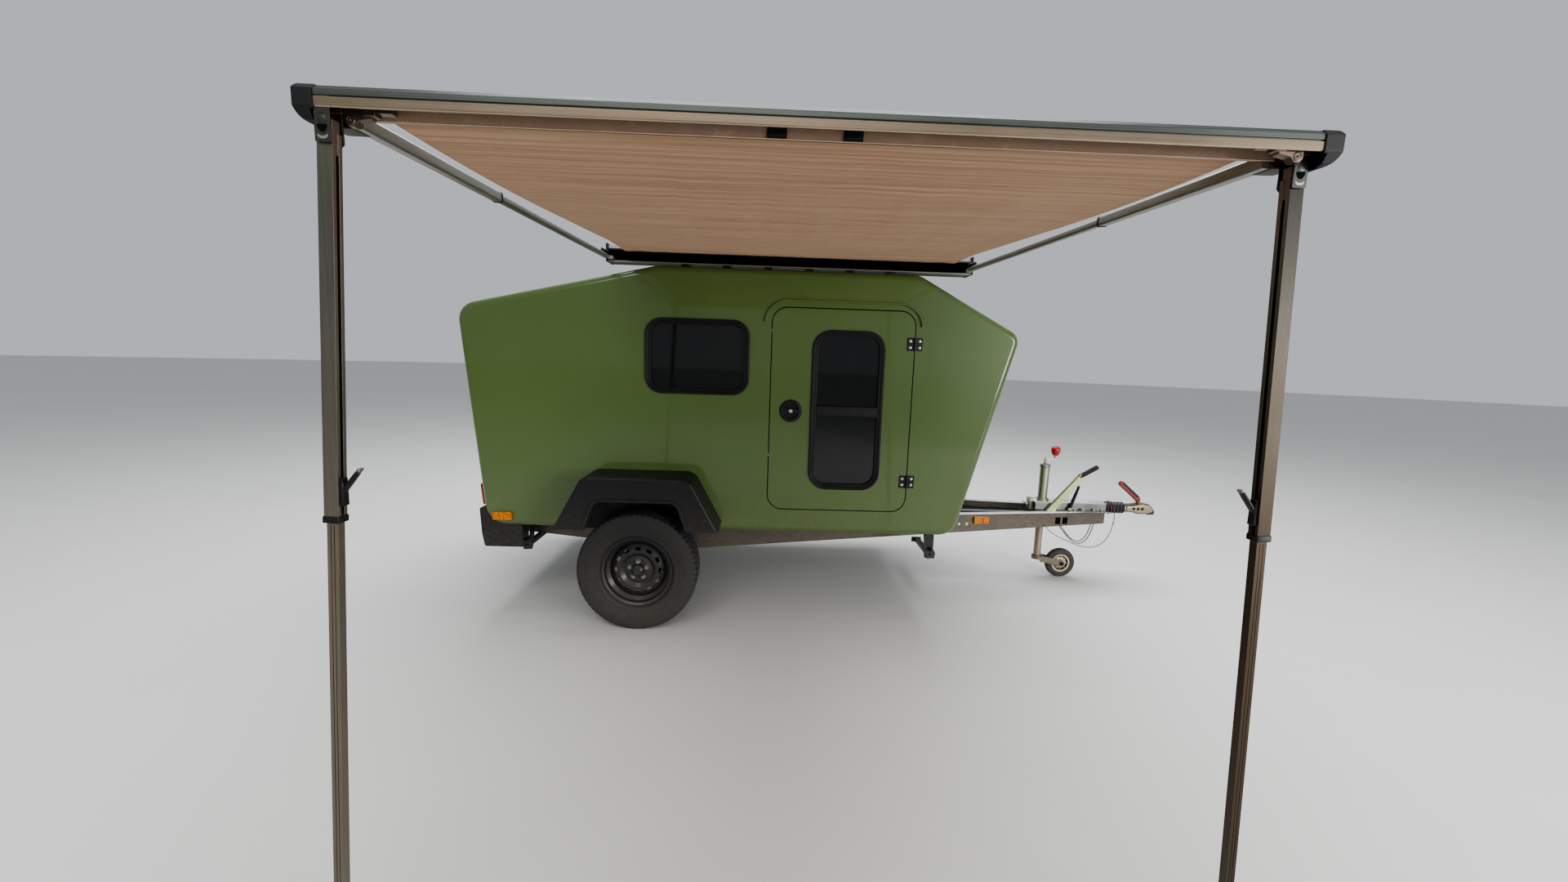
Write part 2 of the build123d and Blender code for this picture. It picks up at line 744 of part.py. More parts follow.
tread_half = tyre_width / 2 - 20
groove = 7.0
with BuildPart() as tyre:
    with BuildSketch(wheel_section):
        with BuildLine():
            Polyline((rim_radius + 8.3, -bead - 4), (rim_radius + 14, -bead - 14),
                     (rim_radius + 40, -tyre_width / 2 + 4), (rim_radius + 62, -tyre_width / 2),
                     (wheel_radius - 34, -tyre_width / 2 + 4),
                     (wheel_radius - 12, -tyre_width / 2 + 12), (wheel_radius - 3, -tread_half),
                     (wheel_radius, -tread_half + 26), (wheel_radius, tread_half - 26),
                     (wheel_radius - 3, tread_half), (wheel_radius - 12, tyre_width / 2 - 12),
                     (wheel_radius - 34, tyre_width / 2 - 4), (rim_radius + 62, tyre_width / 2),
                     (rim_radius + 40, tyre_width / 2 - 4), (rim_radius + 14, bead + 14),
                     (rim_radius + 8.3, bead + 4), (rim_radius + 8.3, bead - 6),
                     (wheel_radius - 16, tread_half), (wheel_radius - 16, -tread_half),
                     (rim_radius + 8.3, -bead + 6), close=True)
        make_face()
        for place in (-48, -16, 16, 48):
            with Locations((wheel_radius, place)):
                Rectangle(2 * groove, groove, mode=Mode.SUBTRACT)
    revolve(axis=wheel_axis)
save_both_sides(tyre, "tyre")

# Mudguards over the wheels


def guard_outline(inset):
    low = guard_low - (40 if inset else 0)
    knee = guard_knee - inset
    top = up(guard_top - inset)
    return ((axle_x - guard_half_low + inset, up(low)), (axle_x - knee, up(guard_knee_height - inset)),
            (axle_x - guard_half_top, top), (axle_x + guard_half_top, top),
            (axle_x + knee, up(guard_knee_height - inset)), (axle_x + guard_half_low - inset, up(low)))


def arch_outline(grow):
    low, high = up(guard_low - 40), up(arch_top + grow)
    return ((axle_x - arch_half_low - grow, low), (axle_x - arch_half_top - grow, high),
            (axle_x + arch_half_top + grow, high), (axle_x + arch_half_low + grow, low))


def soften(sketch, x_offset, height, radius):
    for side in (-1, 1):
        corner = sketch.vertices().sort_by_distance((axle_x + side * x_offset, up(height)))[0]
        fillet(corner, radius)


with BuildPart() as guard:
    with BuildSketch(right_wall) as outer:
        Polygon(*guard_outline(0), align=None)
        soften(outer, guard_knee, guard_knee_height, 40)
    extrude(amount=guard_outer_y - body_half_width)
    crown = guard.faces().sort_by(Axis.Y)[0].edges().filter_by(lambda e: e.center().Z > up(guard_low + 1))
    fillet(crown, 14)
    with BuildSketch(right_wall) as inner:
        Polygon(*guard_outline(guard_wall), align=None)
        soften(inner, guard_knee - guard_wall, guard_knee_height - guard_wall, 35)
    extrude(amount=guard_outer_y - body_half_width - guard_wall, mode=Mode.SUBTRACT)
    with BuildSketch(right_wall.offset(guard_outer_y - body_half_width - guard_wall)) as lip:
        Polygon(*arch_outline(arch_lip), align=None)
        soften(lip, arch_half_top + arch_lip, arch_top + arch_lip, 62)
        with Locations((axle_x, up(guard_low - 50))):
            Rectangle(3 * guard_half_low, 100, mode=Mode.SUBTRACT)
    extrude(amount=guard_wall + lip_proud)
    with BuildSketch(right_wall) as arch:
        Polygon(*arch_outline(0), align=None)
        soften(arch, arch_half_top, arch_top, 50)
    extrude(amount=2 * guard_outer_y, mode=Mode.SUBTRACT)
save_both_sides(guard, "mudguard")

# Overrun housing on the drawbar
with BuildPart() as housing:
    block((housing_back, -housing_half_width, up(floor_height)),
          (housing_front, housing_half_width, up(housing_top)))
    fillet(housing.edges().filter_by(Axis.X).group_by(Axis.Z)[-1], 8)
    block((housing_back - 1, -housing_half_width + housing_wall, up(floor_height - 1)),
          (housing_front - housing_wall, housing_half_width - housing_wall, up(housing_top - housing_wall)),
          Mode.SUBTRACT)
    foot_y = rail_y(housing_foot_back)
    block((housing_foot_back, -foot_y, up(floor_height)),
          (housing_front, -housing_half_width + 1, up(floor_height + 5)))
    block((housing_foot_back, housing_half_width - 1, up(floor_height)),
          (housing_front, foot_y, up(floor_height + 5)))
    with BuildSketch(Plane.XY.offset(up(housing_top - 20))):
        with Locations((jockey_x, 0)):
            Circle(jockey_outer_radius + 0.5)
    extrude(amount=40, mode=Mode.SUBTRACT)
    with BuildSketch(Plane.YZ.offset(housing_front - 20)):
        with Locations((0, up(coupling_axis))):
            Circle(coupling_tube_radius + 0.5)
    extrude(amount=40, mode=Mode.SUBTRACT)
    # ears under the side walls carry the handbrake's pivot
    for side in (-1, 1):
        near, far = sorted((side * (housing_half_width - housing_wall), side * housing_half_width))
        block((lever_foot[0] - 38, near, up(lever_foot[1] - 26)),
              (lever_foot[0] + 38, far, up(floor_height + 1)))
save(housing, "overrun_housing")

# Rubber bellows round the sliding tube
bellows_folds = 7
bellows_out = 40.0
bellows_in = 31.0
fold = (bellows_front - housing_front) / bellows_folds
with BuildPart() as bellows:
    with BuildSketch(Plane(origin=(housing_front, 0, up(coupling_axis)), x_dir=(1, 0, 0), z_dir=(0, -1, 0))):
        with BuildLine():
            crest = [(0, bellows_in)]
            for turn in range(bellows_folds):
                crest.append(((turn + 0.5) * fold, bellows_out))
                crest.append(((turn + 1) * fold, bellows_in))
            Polyline(*crest, (bellows_folds * fold, coupling_tube_radius + 0.3),
                     (0, coupling_tube_radius + 0.3), close=True)
        make_face()
    revolve(axis=Axis((0, 0, up(coupling_axis)), (1, 0, 0)))
save(bellows, "bellows")

# Coupling head with its tube and release handle
head_side = (
    # x, height of the head's side view
    (-132.0, 524.0), (-70.0, 528.0), (-14.0, 539.0), (34.0, 530.0), (60.0, 508.0),
    (70.0, 480.0), (66.0, 463.0), (-44.0, 463.0), (-80.0, 474.0), (-132.0, 476.0),
)
head_half_width = 34.0
with BuildPart() as coupling:
    with BuildSketch(Plane.XZ):
        Polygon(*[(x, up(height)) for x, height in head_side], align=None)
    extrude(amount=head_half_width, both=True)
    fillet(coupling.edges().filter_by(lambda e: abs(abs(e.center().Y) - head_half_width) < 0.1), 14)
    with BuildSketch(Plane.YZ.offset(housing_front - 60)):
        with Locations((0, up(coupling_axis))):
            Circle(coupling_tube_radius)
    extrude(amount=bellows_front - housing_front + 90)
    with Locations((0, 0, 0)):
        Sphere(ball_radius + 0.2, mode=Mode.SUBTRACT)
    with BuildSketch(Plane.XY):
        Circle(ball_radius + 0.2)
    extrude(amount=-60, mode=Mode.SUBTRACT)
    with BuildSketch(Plane.XZ):
        with BuildLine():
            Polyline((-14, up(530)), (-34, up(530)), (-56, up(560)), (-176, up(662)), (-160, up(684)),
                     (-34, up(580)), close=True)
        make_face()
    extrude(amount=12, both=True)
save(coupling, "coupling")

# Handbrake lever with grip and gas strut
lever_length = hypot(lever_top[0] - lever_foot[0], lever_top[1] - lever_foot[1])
lever_dir = ((lever_top[0] - lever_foot[0]) / lever_length, (lever_top[1] - lever_foot[1]) / lever_length)
with BuildPart() as handbrake:
    lever_plane = Plane(origin=(lever_foot[0], handbrake_y, up(lever_foot[1])),
                        x_dir=(lever_dir[0], 0, lever_dir[1]), z_dir=(0, -1, 0))
    with BuildSketch(lever_plane):
        Polygon((-20, -24), (lever_length, -20), (lever_length, 16), (-20, 24), align=None)
    extrude(amount=handbrake_width)
    with BuildSketch(lever_plane.offset(3)):
        Polygon((-30, -40), (lever_length + 10, -40), (lever_length + 10, 12), (-30, 20), align=None)
    extrude(amount=handbrake_width - 6, mode=Mode.SUBTRACT)
    grip_length = hypot(grip_tip[0] - lever_top[0], grip_tip[1] - lever_top[1])
    grip_dir = ((grip_tip[0] - lever_top[0]) / grip_length, (grip_tip[1] - lever_top[1]) / grip_length)
    with BuildSketch(Plane(origin=(lever_top[0] - 18 * grip_dir[0], handbrake_y - handbrake_width / 2,
                                   up(lever_top[1] - 18 * grip_dir[1])),
                           x_dir=(0, 1, 0), z_dir=(grip_dir[0], 0, grip_dir[1]))):
        RectangleRounded(28, 26, 9)
    extrude(amount=grip_length + 18)
    with BuildSketch(Plane(origin=(lever_foot[0], -housing_half_width, up(lever_foot[1])),
                           x_dir=(1, 0, 0), z_dir=(0, -1, 0))):
        Circle(10)
    extrude(amount=handbrake_width + 5)
    # eye below the pivot for the breakaway cable
    lever_middle_y = handbrake_y - handbrake_width / 2
    block((breakaway_route[0][0] - 8, lever_middle_y - 8, up(breakaway_route[0][2])),
          (breakaway_route[0][0] + 8, lever_middle_y + 8, up(lever_foot[1])))
    # gas strut and its seat on the housing's foot flange
    strut_length = hypot(strut_top[0] - strut_foot[0], strut_top[1] - strut_foot[1])
    with BuildSketch(Plane(origin=(strut_foot[0], lever_middle_y, up(strut_foot[1])), x_dir=(0, 1, 0),
                           z_dir=((strut_top[0] - strut_foot[0]) / strut_length, 0,
                                  (strut_top[1] - strut_foot[1]) / strut_length))):
        Circle(strut_radius)
    extrude(amount=strut_length)
    block((strut_foot[0] - 12, lever_middle_y - 10, up(floor_height + housing_wall)),
          (strut_foot[0] + 12, lever_middle_y + 10, up(strut_foot[1] + 8)))
save(handbrake, "handbrake")

# Jockey wheel: outer tube with clamp and crank, inner tube, fork and wheel
crank_height = 834.0
knob_x = -640.0
knob_radius = 29.0
with BuildPart() as jockey_outer:
    with BuildSketch(Plane.XY.offset(up(jockey_outer_low))):
        with Locations((jockey_x, 0)):
            Circle(jockey_outer_radius)
            Circle(jockey_inner_radius + 0.4, mode=Mode.SUBTRACT)
    extrude(amount=30)
    with BuildSketch(Plane.XY.offset(up(jockey_outer_low))):
        with Locations((jockey_x, 0)):
            Circle(jockey_outer_radius)
            Circle(jockey_outer_radius - jockey_outer_wall, mode=Mode.SUBTRACT)
    extrude(amount=jockey_outer_top - jockey_outer_low)
    with BuildSketch(Plane.XY.offset(up(jockey_outer_top))):
        with Locations((jockey_x, 0)):
            Circle(jockey_outer_radius + 2)
    extrude(amount=8)
    with BuildSketch(Plane.XY.offset(up(jockey_outer_top + 8))):
        with Locations((jockey_x, 0)):
            Circle(8)
    extrude(amount=crank_height - jockey_outer_top - 8)
    block((jockey_x - 8, -6, up(crank_height - 12)), (knob_x + 8, 6, up(crank_height)))
    with BuildSketch(Plane.XY.offset(up(crank_height))):
        with Locations((knob_x, 0)):
            Circle(7)
    extrude(amount=20)
    with BuildSketch(Plane(origin=(knob_x, 0, up(crank_height + 18)), x_dir=(1, 0, 0), z_dir=(0, -1, 0))):
        with BuildLine():
            Polyline((0, 0), (16, 0), (20, 8), (knob_radius, 34), (knob_radius - 3, 50), (18, 60), (0, 62),
                     close=True)
        make_face()
    revolve(axis=Axis((knob_x, 0, 0), (0, 0, 1)))
    # clamp collar behind the housing's rear end
    with BuildSketch(Plane.XY.offset(up(housing_top))):
        with Locations((jockey_x, 0)):
            Circle(jockey_outer_radius + 12)
            Circle(jockey_outer_radius - 1, mode=Mode.SUBTRACT)
    extrude(amount=14)
    block((housing_back - 22, -30, up(housing_top - 60)), (housing_back, 30, up(housing_top + 14)))
    block((housing_back - 10, -12, up(housing_top)),
          (jockey_x - jockey_outer_radius + 1, 12, up(housing_top + 14)))
save(jockey_outer, "jockey_outer_tube")

with BuildPart() as jockey_inner:
    with BuildSketch(Plane.XY.offset(up(jockey_inner_low))):
        with Locations((jockey_x, 0)):
            Circle(jockey_inner_radius)
    extrude(amount=jockey_inner_top - jockey_inner_low)
save(jockey_inner, "jockey_inner_tube")

fork_inside = jockey_wheel_width + 10
fork_plate = 5.0
with BuildPart() as fork:
    with BuildSketch(Plane.XY.offset(up(jockey_inner_low - 25))):
        with Locations((jockey_x, 0)):
            Circle(jockey_inner_radius + 10)
    extrude(amount=25)
    block((jockey_x - 10, -fork_inside / 2 - fork_plate, up(jockey_inner_low - 25)),
          (jockey_x + 50, fork_inside / 2 + fork_plate, up(jockey_inner_low - 8)))
    for side in (-1, 1):
        inner_face = side * fork_inside / 2
        with BuildSketch(Plane(origin=(0, inner_face, 0), x_dir=(1, 0, 0), z_dir=(0, -1, 0))):
            Polygon((jockey_x + 10, up(jockey_inner_low - 4)), (jockey_x + 50, up(jockey_inner_low - 4)),
                    (jockey_wheel_x, up(jockey_wheel_radius + 20)),
                    (jockey_wheel_x, up(jockey_wheel_radius - 18)),
                    (jockey_x + 10, up(jockey_inner_low - 40)), align=None)
            with Locations((jockey_wheel_x, up(jockey_wheel_radius))):
                Circle(20)
        extrude(amount=-side * fork_plate)
    axle_end = -fork_inside / 2 - fork_plate - 4
    with BuildSketch(Plane(origin=(jockey_wheel_x, axle_end, up(jockey_wheel_radius)),
                           x_dir=(1, 0, 0), z_dir=(0, 1, 0))):
        Circle(jockey_axle_radius)
    extrude(amount=fork_inside + 2 * fork_plate + 8)
save(fork, "jockey_fork")

jockey_centre = (jockey_wheel_x, 0, up(jockey_wheel_radius))
jockey_section = Plane(origin=jockey_centre, x_dir=(1, 0, 0), z_dir=(0, 0, 1))
jockey_half = jockey_wheel_width / 2
jockey_bead = 63.0
with BuildPart() as jockey_rim:
    with BuildSketch(jockey_section):
        Polygon((jockey_axle_radius + pin_clearance, -28), (18, -28), (20, -14), (jockey_bead - 22, -8),
                (jockey_bead - 12, -18), (jockey_bead, -20), (jockey_bead, -16), (jockey_bead - 10, -12),
                (jockey_bead - 10, 12), (jockey_bead, 16), (jockey_bead, 20), (jockey_bead - 12, 18),
                (jockey_bead - 22, 8), (20, 14), (18, 28), (jockey_axle_radius + pin_clearance, 28),
                align=None)
    revolve(axis=Axis(jockey_centre, (0, 1, 0)))
save(jockey_rim, "jockey_rim")

with BuildPart() as jockey_tyre:
    with BuildSketch(jockey_section):
        Polygon((jockey_bead - 9.7, -11.6), (jockey_bead + 0.3, -16), (jockey_bead + 0.3, -22),
                (jockey_bead + 11, -jockey_half),
                (jockey_wheel_radius - 8, -jockey_half + 3), (jockey_wheel_radius - 2, -jockey_half + 10),
                (jockey_wheel_radius, -8), (jockey_wheel_radius, 8),
                (jockey_wheel_radius - 2, jockey_half - 10), (jockey_wheel_radius - 8, jockey_half - 3),
                (jockey_bead + 11, jockey_half), (jockey_bead + 0.3, 22), (jockey_bead + 0.3, 16),
                (jockey_bead - 9.7, 11.6), align=None)
    revolve(axis=Axis(jockey_centre, (0, 1, 0)))
save(jockey_tyre, "jockey_tyre")

# Clips under the right rail's top flange that hold the ends of the two hanging cables
clip_high = floor_height - rail_wall
clip_low = cable_routes["lower"][0][2]
clip_rim = 7.0
with BuildPart() as cable_clips:
    for place in (0, -1):
        end_xs = [route[place][0] for route in cable_routes.values()]
        end_ys = [route[place][1] for route in cable_routes.values()]
        flange_edge = rail_flange - rail_y(min(end_xs))
        block((min(end_xs) - clip_rim, flange_edge - 2 * clip_rim, up(clip_low)),
              (max(end_xs) + clip_rim, max(end_ys) + clip_rim, up(clip_high)))
save(cable_clips, "cable_clips")


def cord_tube(route, radius, name):
    """A tube of straight runs and tangent arcs through the corners of a route."""
    corners = [Vector(x, y, up(height)) for x, y, height in route]
    runs = [b - a for a, b in zip(corners, corners[1:])]
    radii = []
    for before, after in zip(runs, runs[1:]):
        half_turn = radians(before.get_angle(after)) / 2
        radii.append(0.45 * min(before.length, after.length) / tan(half_turn))
    print(name, "bend radii", [round(value) for value in radii])
    with BuildPart() as cord:
        with BuildLine() as path:
            FilletPolyline(*corners, radius=radii)
        with BuildSketch(Plane(origin=corners[0], z_dir=runs[0].normalized())) as section:
            Circle(radius)
        sweep(section.sketch, path=path.wire())
    length = path.wire().length
    volume_ratio = cord.part.volume / (pi * radius ** 2 * length)
    print(name, "length", round(length), "volume ratio", round(volume_ratio, 4))
    save(cord, name)
    return path.wire()


for name, route in cable_routes.items():
    cord_tube(route, cable_radius, f"hanging_cable_{name}")

winding = []
for place in range(winding_places):
    angle = radians(winding_step * place)
    winding.append((winding_x - winding_pitch * winding_step * place / 360,
                    -winding_radius * cos(angle), coupling_axis + winding_radius * sin(angle)))
cord_tube(breakaway_route + tuple(winding), breakaway_radius, "breakaway_cable")

# Ferrule on the breakaway cable below the bellows
ferrule_low = Vector(*breakaway_route[-3][:2], up(breakaway_route[-3][2]))
ferrule_high = Vector(*breakaway_route[-2][:2], up(breakaway_route[-2][2]))
with BuildPart() as ferrule:
    with BuildSketch(Plane(origin=ferrule_low + (ferrule_high - ferrule_low) * 0.5,
                           z_dir=(ferrule_high - ferrule_low).normalized())):
        Circle(7)
        Circle(breakaway_radius + 0.3, mode=Mode.SUBTRACT)
    extrude(amount=3, both=True)
save(ferrule, "breakaway_ferrule")

# Corner steadies: hangers under the floor, legs folded inwards on a pin along the trailer
steady_pin_y = -steady_y + 20
cheek_gap = steady_thick / 2 + 3
with BuildPart() as steady_hangers:
    for x in steady_x:
        with BuildSketch(Plane(origin=(0, -steady_y, 0), x_dir=(1, 0, 0), z_dir=(0, -1, 0))):
            Polygon((x - 32, up(floor_height)), (x + 12, up(floor_height)), (x + 14, up(steady_pivot + 45)),
                    (x + 34, up(steady_pivot + 10)), (x + 30, up(steady_pivot - 22)),
                    (x - 14, up(steady_pivot - 24)), (x - 32, up(steady_pivot + 25)), align=None)
            with Locations((x, up(steady_pivot))):
                Circle(8, mode=Mode.SUBTRACT)
        extrude(amount=hanger_wall)
        for near in (x - cheek_gap - hanger_wall, x + cheek_gap):
            with BuildSketch(Plane.YZ.offset(near)):
                Polygon((-steady_y, up(floor_height)), (-steady_y + 90, up(floor_height)),
                        (steady_pin_y + 18, up(steady_pivot - 14)),
                        (steady_pin_y + 12, up(steady_pivot - 24)),
                        (-steady_y, up(steady_pivot - 24)), align=None)
            extrude(amount=hanger_wall)
        with BuildSketch(Plane.YZ.offset(x - cheek_gap - 1)):
            with Locations((steady_pin_y, up(steady_pivot))):
                Circle(steady_pin_radius)
        extrude(amount=2 * cheek_gap + 2)
    mirror(about=Plane.XZ)
save(steady_hangers, "steady_hangers")

for end, x in zip(("front", "rear"), steady_x):
    with BuildPart() as steady:
        with BuildSketch(Plane.YZ.offset(x - steady_thick / 2)):
            with Locations((steady_pin_y, up(steady_pivot))):
                Circle(steady_thick / 2)
                with Locations((steady_length / 2, 0)):
                    Rectangle(steady_length, steady_thick)
        extrude(amount=steady_thick)
        # folded channel, open towards the ground
        block((x - steady_thick / 2 + hanger_wall, steady_pin_y + 20, up(steady_pivot - steady_thick)),
              (x + steady_thick / 2 - hanger_wall, steady_pin_y + steady_length - 1,
               up(steady_pivot + steady_thick / 2 - hanger_wall)), Mode.SUBTRACT)
        # foot plate across the end
        block((x - 30, steady_pin_y + steady_length, up(steady_pivot - 20)),
              (x + 30, steady_pin_y + steady_length + hanger_wall, up(steady_pivot + 11)))
        with BuildSketch(Plane.YZ.offset(x - steady_thick)):
            with Locations((steady_pin_y, up(steady_pivot))):
                Circle(steady_pin_radius + pin_clearance)
        extrude(amount=2 * steady_thick, mode=Mode.SUBTRACT)
    save_both_sides(steady, f"steady_{end}")

# Awning cassette: an open-fronted channel along the roof edge, on feet
awning_back_x = awning_x - awning_half_length
awning_front_x = awning_x + awning_half_length
section_plane = Plane(origin=(awning_back_x, 0, 0), x_dir=(0, 1, 0), z_dir=(1, 0, 0))
cassette_high = cassette_low + cassette_tall
cassette_back_y = cassette_front_y + cassette_depth
foot_spacing = 220.0
foot_long = 40.0
mouth_low = 8.0
with BuildPart() as cassette:
    with BuildSketch(section_plane):
        with BuildLine():
            Polyline((cassette_front_y, up(cassette_low)), (cassette_back_y, up(cassette_low)),
                     (cassette_back_y, up(cassette_high)), (cassette_front_y + 30, up(cassette_high)),
                     (cassette_front_y, up(cassette_high - 22)), close=True)
        make_face()
    extrude(amount=2 * awning_half_length)
    fillet(cassette.edges().filter_by(Axis.X).group_by(Axis.Z)[-1].sort_by(Axis.Y)[0], 14)
    fillet(cassette.edges().filter_by(Axis.X).group_by(Axis.Z)[-1].sort_by(Axis.Y)[-1], 3)
    block((awning_back_x - 1, cassette_front_y - 1, up(cassette_low + mouth_low)),
          (awning_front_x + 1, cassette_back_y - cassette_wall, up(cassette_high - 30)), Mode.SUBTRACT)
    block((awning_back_x - 1, cassette_front_y + 38, up(cassette_low + mouth_low)),
          (awning_front_x + 1, cassette_back_y - cassette_wall, up(cassette_high - cassette_wall)),
          Mode.SUBTRACT)
    flat_back, flat_front = body_corners[1][0], body_corners[2][0]
    feet = int((flat_front - flat_back) / foot_spacing)
    for foot in range(feet):
        x = (flat_front + flat_back) / 2 + (foot - (feet - 1) / 2) * foot_spacing
        block((x - foot_long / 2, cassette_front_y + 20, up(roof_height)),
              (x + foot_long / 2, cassette_back_y - 10, up(cassette_low)))
save(cassette, "awning_cassette")

# Lead rail, open below, with a bracket and pin for each leg
leg_room = 2.0
bracket_plate = 3.0
bracket_drop = 35.0
leg_pin_radius = 4.0
slot = leg_depth / 2 + leg_room
with BuildPart() as lead_rail:
    with BuildSketch(Plane(origin=(awning_back_x + cap_length, 0, 0), x_dir=(0, 1, 0), z_dir=(1, 0, 0))):
        with BuildLine():
            Polyline((lead_front_y, up(lead_high - 8)), (lead_front_y, up(lead_high - 18)),
                     (lead_front_y + 3, up(lead_high - 18)), (lead_front_y + 3, up(lead_high - 21)),
                     (lead_front_y, up(lead_high - 21)), (lead_front_y, up(lead_low + 3)),
                     (lead_front_y + 2, up(lead_low)), (lead_front_y + lead_lip, up(lead_low)),
                     (lead_front_y + lead_lip, up(lead_low + lead_recess)),
                     (lead_back_y - lead_wall, up(lead_low + lead_recess)),
                     (lead_back_y - lead_wall, up(lead_low)), (lead_back_y, up(lead_low)),
                     (lead_back_y, up(lead_high - 10)), (lead_back_y - 10, up(lead_high - 4)),
                     (lead_front_y + 30, up(lead_high)), (lead_front_y + 8, up(lead_high)), close=True)
        make_face()
    extrude(amount=2 * (awning_half_length - cap_length))
    for end in (-1, 1):
        pivot_x = awning_x + end * leg_offset
        leg_y = leg_ys["front" if end > 0 else "rear"]
        for side in (-1, 1):
            with BuildSketch(Plane(origin=(0, leg_y + side * slot, 0), x_dir=(1, 0, 0), z_dir=(0, -1, 0))):
                Polygon((pivot_x - leg_width / 2, up(lead_low + lead_recess + 1)),
                        (pivot_x + leg_width / 2, up(lead_low + lead_recess + 1)),
                        (pivot_x + leg_width / 2, up(leg_pivot_height - bracket_drop + 6)),
                        (pivot_x + leg_width / 2 - 6, up(leg_pivot_height - bracket_drop)),
                        (pivot_x - leg_width / 2 + 6, up(leg_pivot_height - bracket_drop)),
                        (pivot_x - leg_width / 2, up(leg_pivot_height - bracket_drop + 6)), align=None)
                if side < 0:
                    with Locations((pivot_x, up(leg_pivot_height))):
                        SlotOverall(28, 13, rotation=90, mode=Mode.SUBTRACT)
            extrude(amount=-side * bracket_plate)
        with BuildSketch(Plane(origin=(pivot_x, leg_y - slot - bracket_plate / 2, up(leg_pivot_height)),
                               x_dir=(1, 0, 0), z_dir=(0, 1, 0))):
            Circle(leg_pin_radius)
        extrude(amount=2 * slot + bracket_plate)
save(lead_rail, "awning_lead_rail")

# Caps on the ends of lead rail and cassette
cap_proud = 2.5
cap_drop = 26.0
cap_round = 28.0
cap_low = lead_low - cap_drop
cap_high = lead_high + 2
with BuildPart() as caps:
    for end in (-1, 1):
        outer_x = awning_x + end * awning_half_length
        low_x, high_x = sorted((outer_x, outer_x - end * cap_length))
        with BuildPart() as cap:
            with BuildSketch(Plane(origin=(low_x, 0, 0), x_dir=(0, 1, 0), z_dir=(1, 0, 0))):
                with BuildLine():
                    Polyline((lead_front_y - cap_proud, up(lead_high - 8)),
                             (lead_front_y - cap_proud, up(lead_low)), (lead_front_y + 8, up(cap_low + 6)),
                             (lead_front_y + 22, up(cap_low)), (lead_back_y - 18, up(cap_low)),
                             (lead_back_y - 4, up(cap_low + 10)), (lead_back_y + 2, up(lead_low)),
                             (lead_back_y + 2, up(lead_high - 10)), (lead_front_y + 30, up(cap_high)),
                             (lead_front_y + 8, up(cap_high)), close=True)
                make_face()
            extrude(amount=cap_length)
            with BuildSketch(Plane.XZ.offset(-lead_front_y - 2 * lead_depth)) as silhouette:
                Polygon((low_x, up(cap_low)), (high_x, up(cap_low)),
                        (high_x, up(cap_high)), (low_x, up(cap_high)), align=None)
                fillet(silhouette.vertices().sort_by_distance((outer_x, up(cap_low)))[0], cap_round)
                fillet(silhouette.vertices().sort_by_distance((outer_x, up(cap_high)))[0], 6)
            extrude(amount=4 * lead_depth, mode=Mode.INTERSECT)
            # room for the leg's top and its bracket
            pivot_x = awning_x + end * leg_offset
            leg_y = leg_ys["front" if end > 0 else "rear"]
            room = slot + bracket_plate
            near, far = sorted((pivot_x, pivot_x + end * (leg_width / 2 + 5.5)))
            block((near, lead_front_y - 2 * cap_proud, ground), (far, leg_y + room, up(lead_low - 4)),
                  Mode.SUBTRACT)
            near, far = sorted((pivot_x, pivot_x + end * (leg_width / 2)))
            block((near, leg_y - room, ground), (far, leg_y + room, up(lead_low + lead_recess + 1)),
                  Mode.SUBTRACT)
        add(cap.part)
        plate_low, plate_high = sorted((outer_x, outer_x + end * 8))
        block((plate_low, cassette_front_y - 4, up(cassette_low - 2)),
              (plate_high, cassette_back_y + 2, up(cassette_high + 2)))
save(caps, "awning_end_caps")

# Tension rafters: an outer channel at the lead rail, an inner tube at the cassette
rafter_shift = -8.0
rafter_cassette_offset = 956.0
rafter_lead_offset = 889.0
rafter_tube_tall = 24.0
rafter_cassette_point = (cassette_front_y - 8, cassette_low + 23)
rafter_lead_point = (lead_back_y + 0.8, lead_low + 2)
rafter_change = 0.32
rafter_arm = 28.0
with BuildPart() as rafters:
    for end in (-1, 1):
        middle_x = awning_x + rafter_shift
        start = Vector(middle_x + end * rafter_lead_offset, rafter_lead_point[0], up(rafter_lead_point[1]))
        finish = Vector(middle_x + end * rafter_cassette_offset, rafter_cassette_point[0],
                        up(rafter_cassette_point[1]))
        run = finish - start
        direction = run.normalized()
        change = start + direction * (run.length * rafter_change)
        with BuildSketch(Plane(origin=start, x_dir=(1, 0, 0), z_dir=direction)):
            RectangleRounded(28, 28, 6)
            with Locations((0, -14)):
                Rectangle(8, 8, mode=Mode.SUBTRACT)
        extrude(amount=run.length * rafter_change)
        with BuildSketch(Plane(origin=change, x_dir=(1, 0, 0), z_dir=direction)):
            RectangleRounded(26, rafter_tube_tall, 9)
        extrude(amount=run.length * (1 - rafter_change))
        # arm from the tube's end into the cassette's mouth
        arm_end = awning_x + end * (awning_half_length - 4)
        near, far = sorted((arm_end, arm_end - end * rafter_arm))
        block((near, cassette_front_y - 21, up(cassette_low + mouth_low)),
              (far, cassette_front_y + 27, up(rafter_cassette_point[1] + 2)))
save(rafters, "awning_rafters")

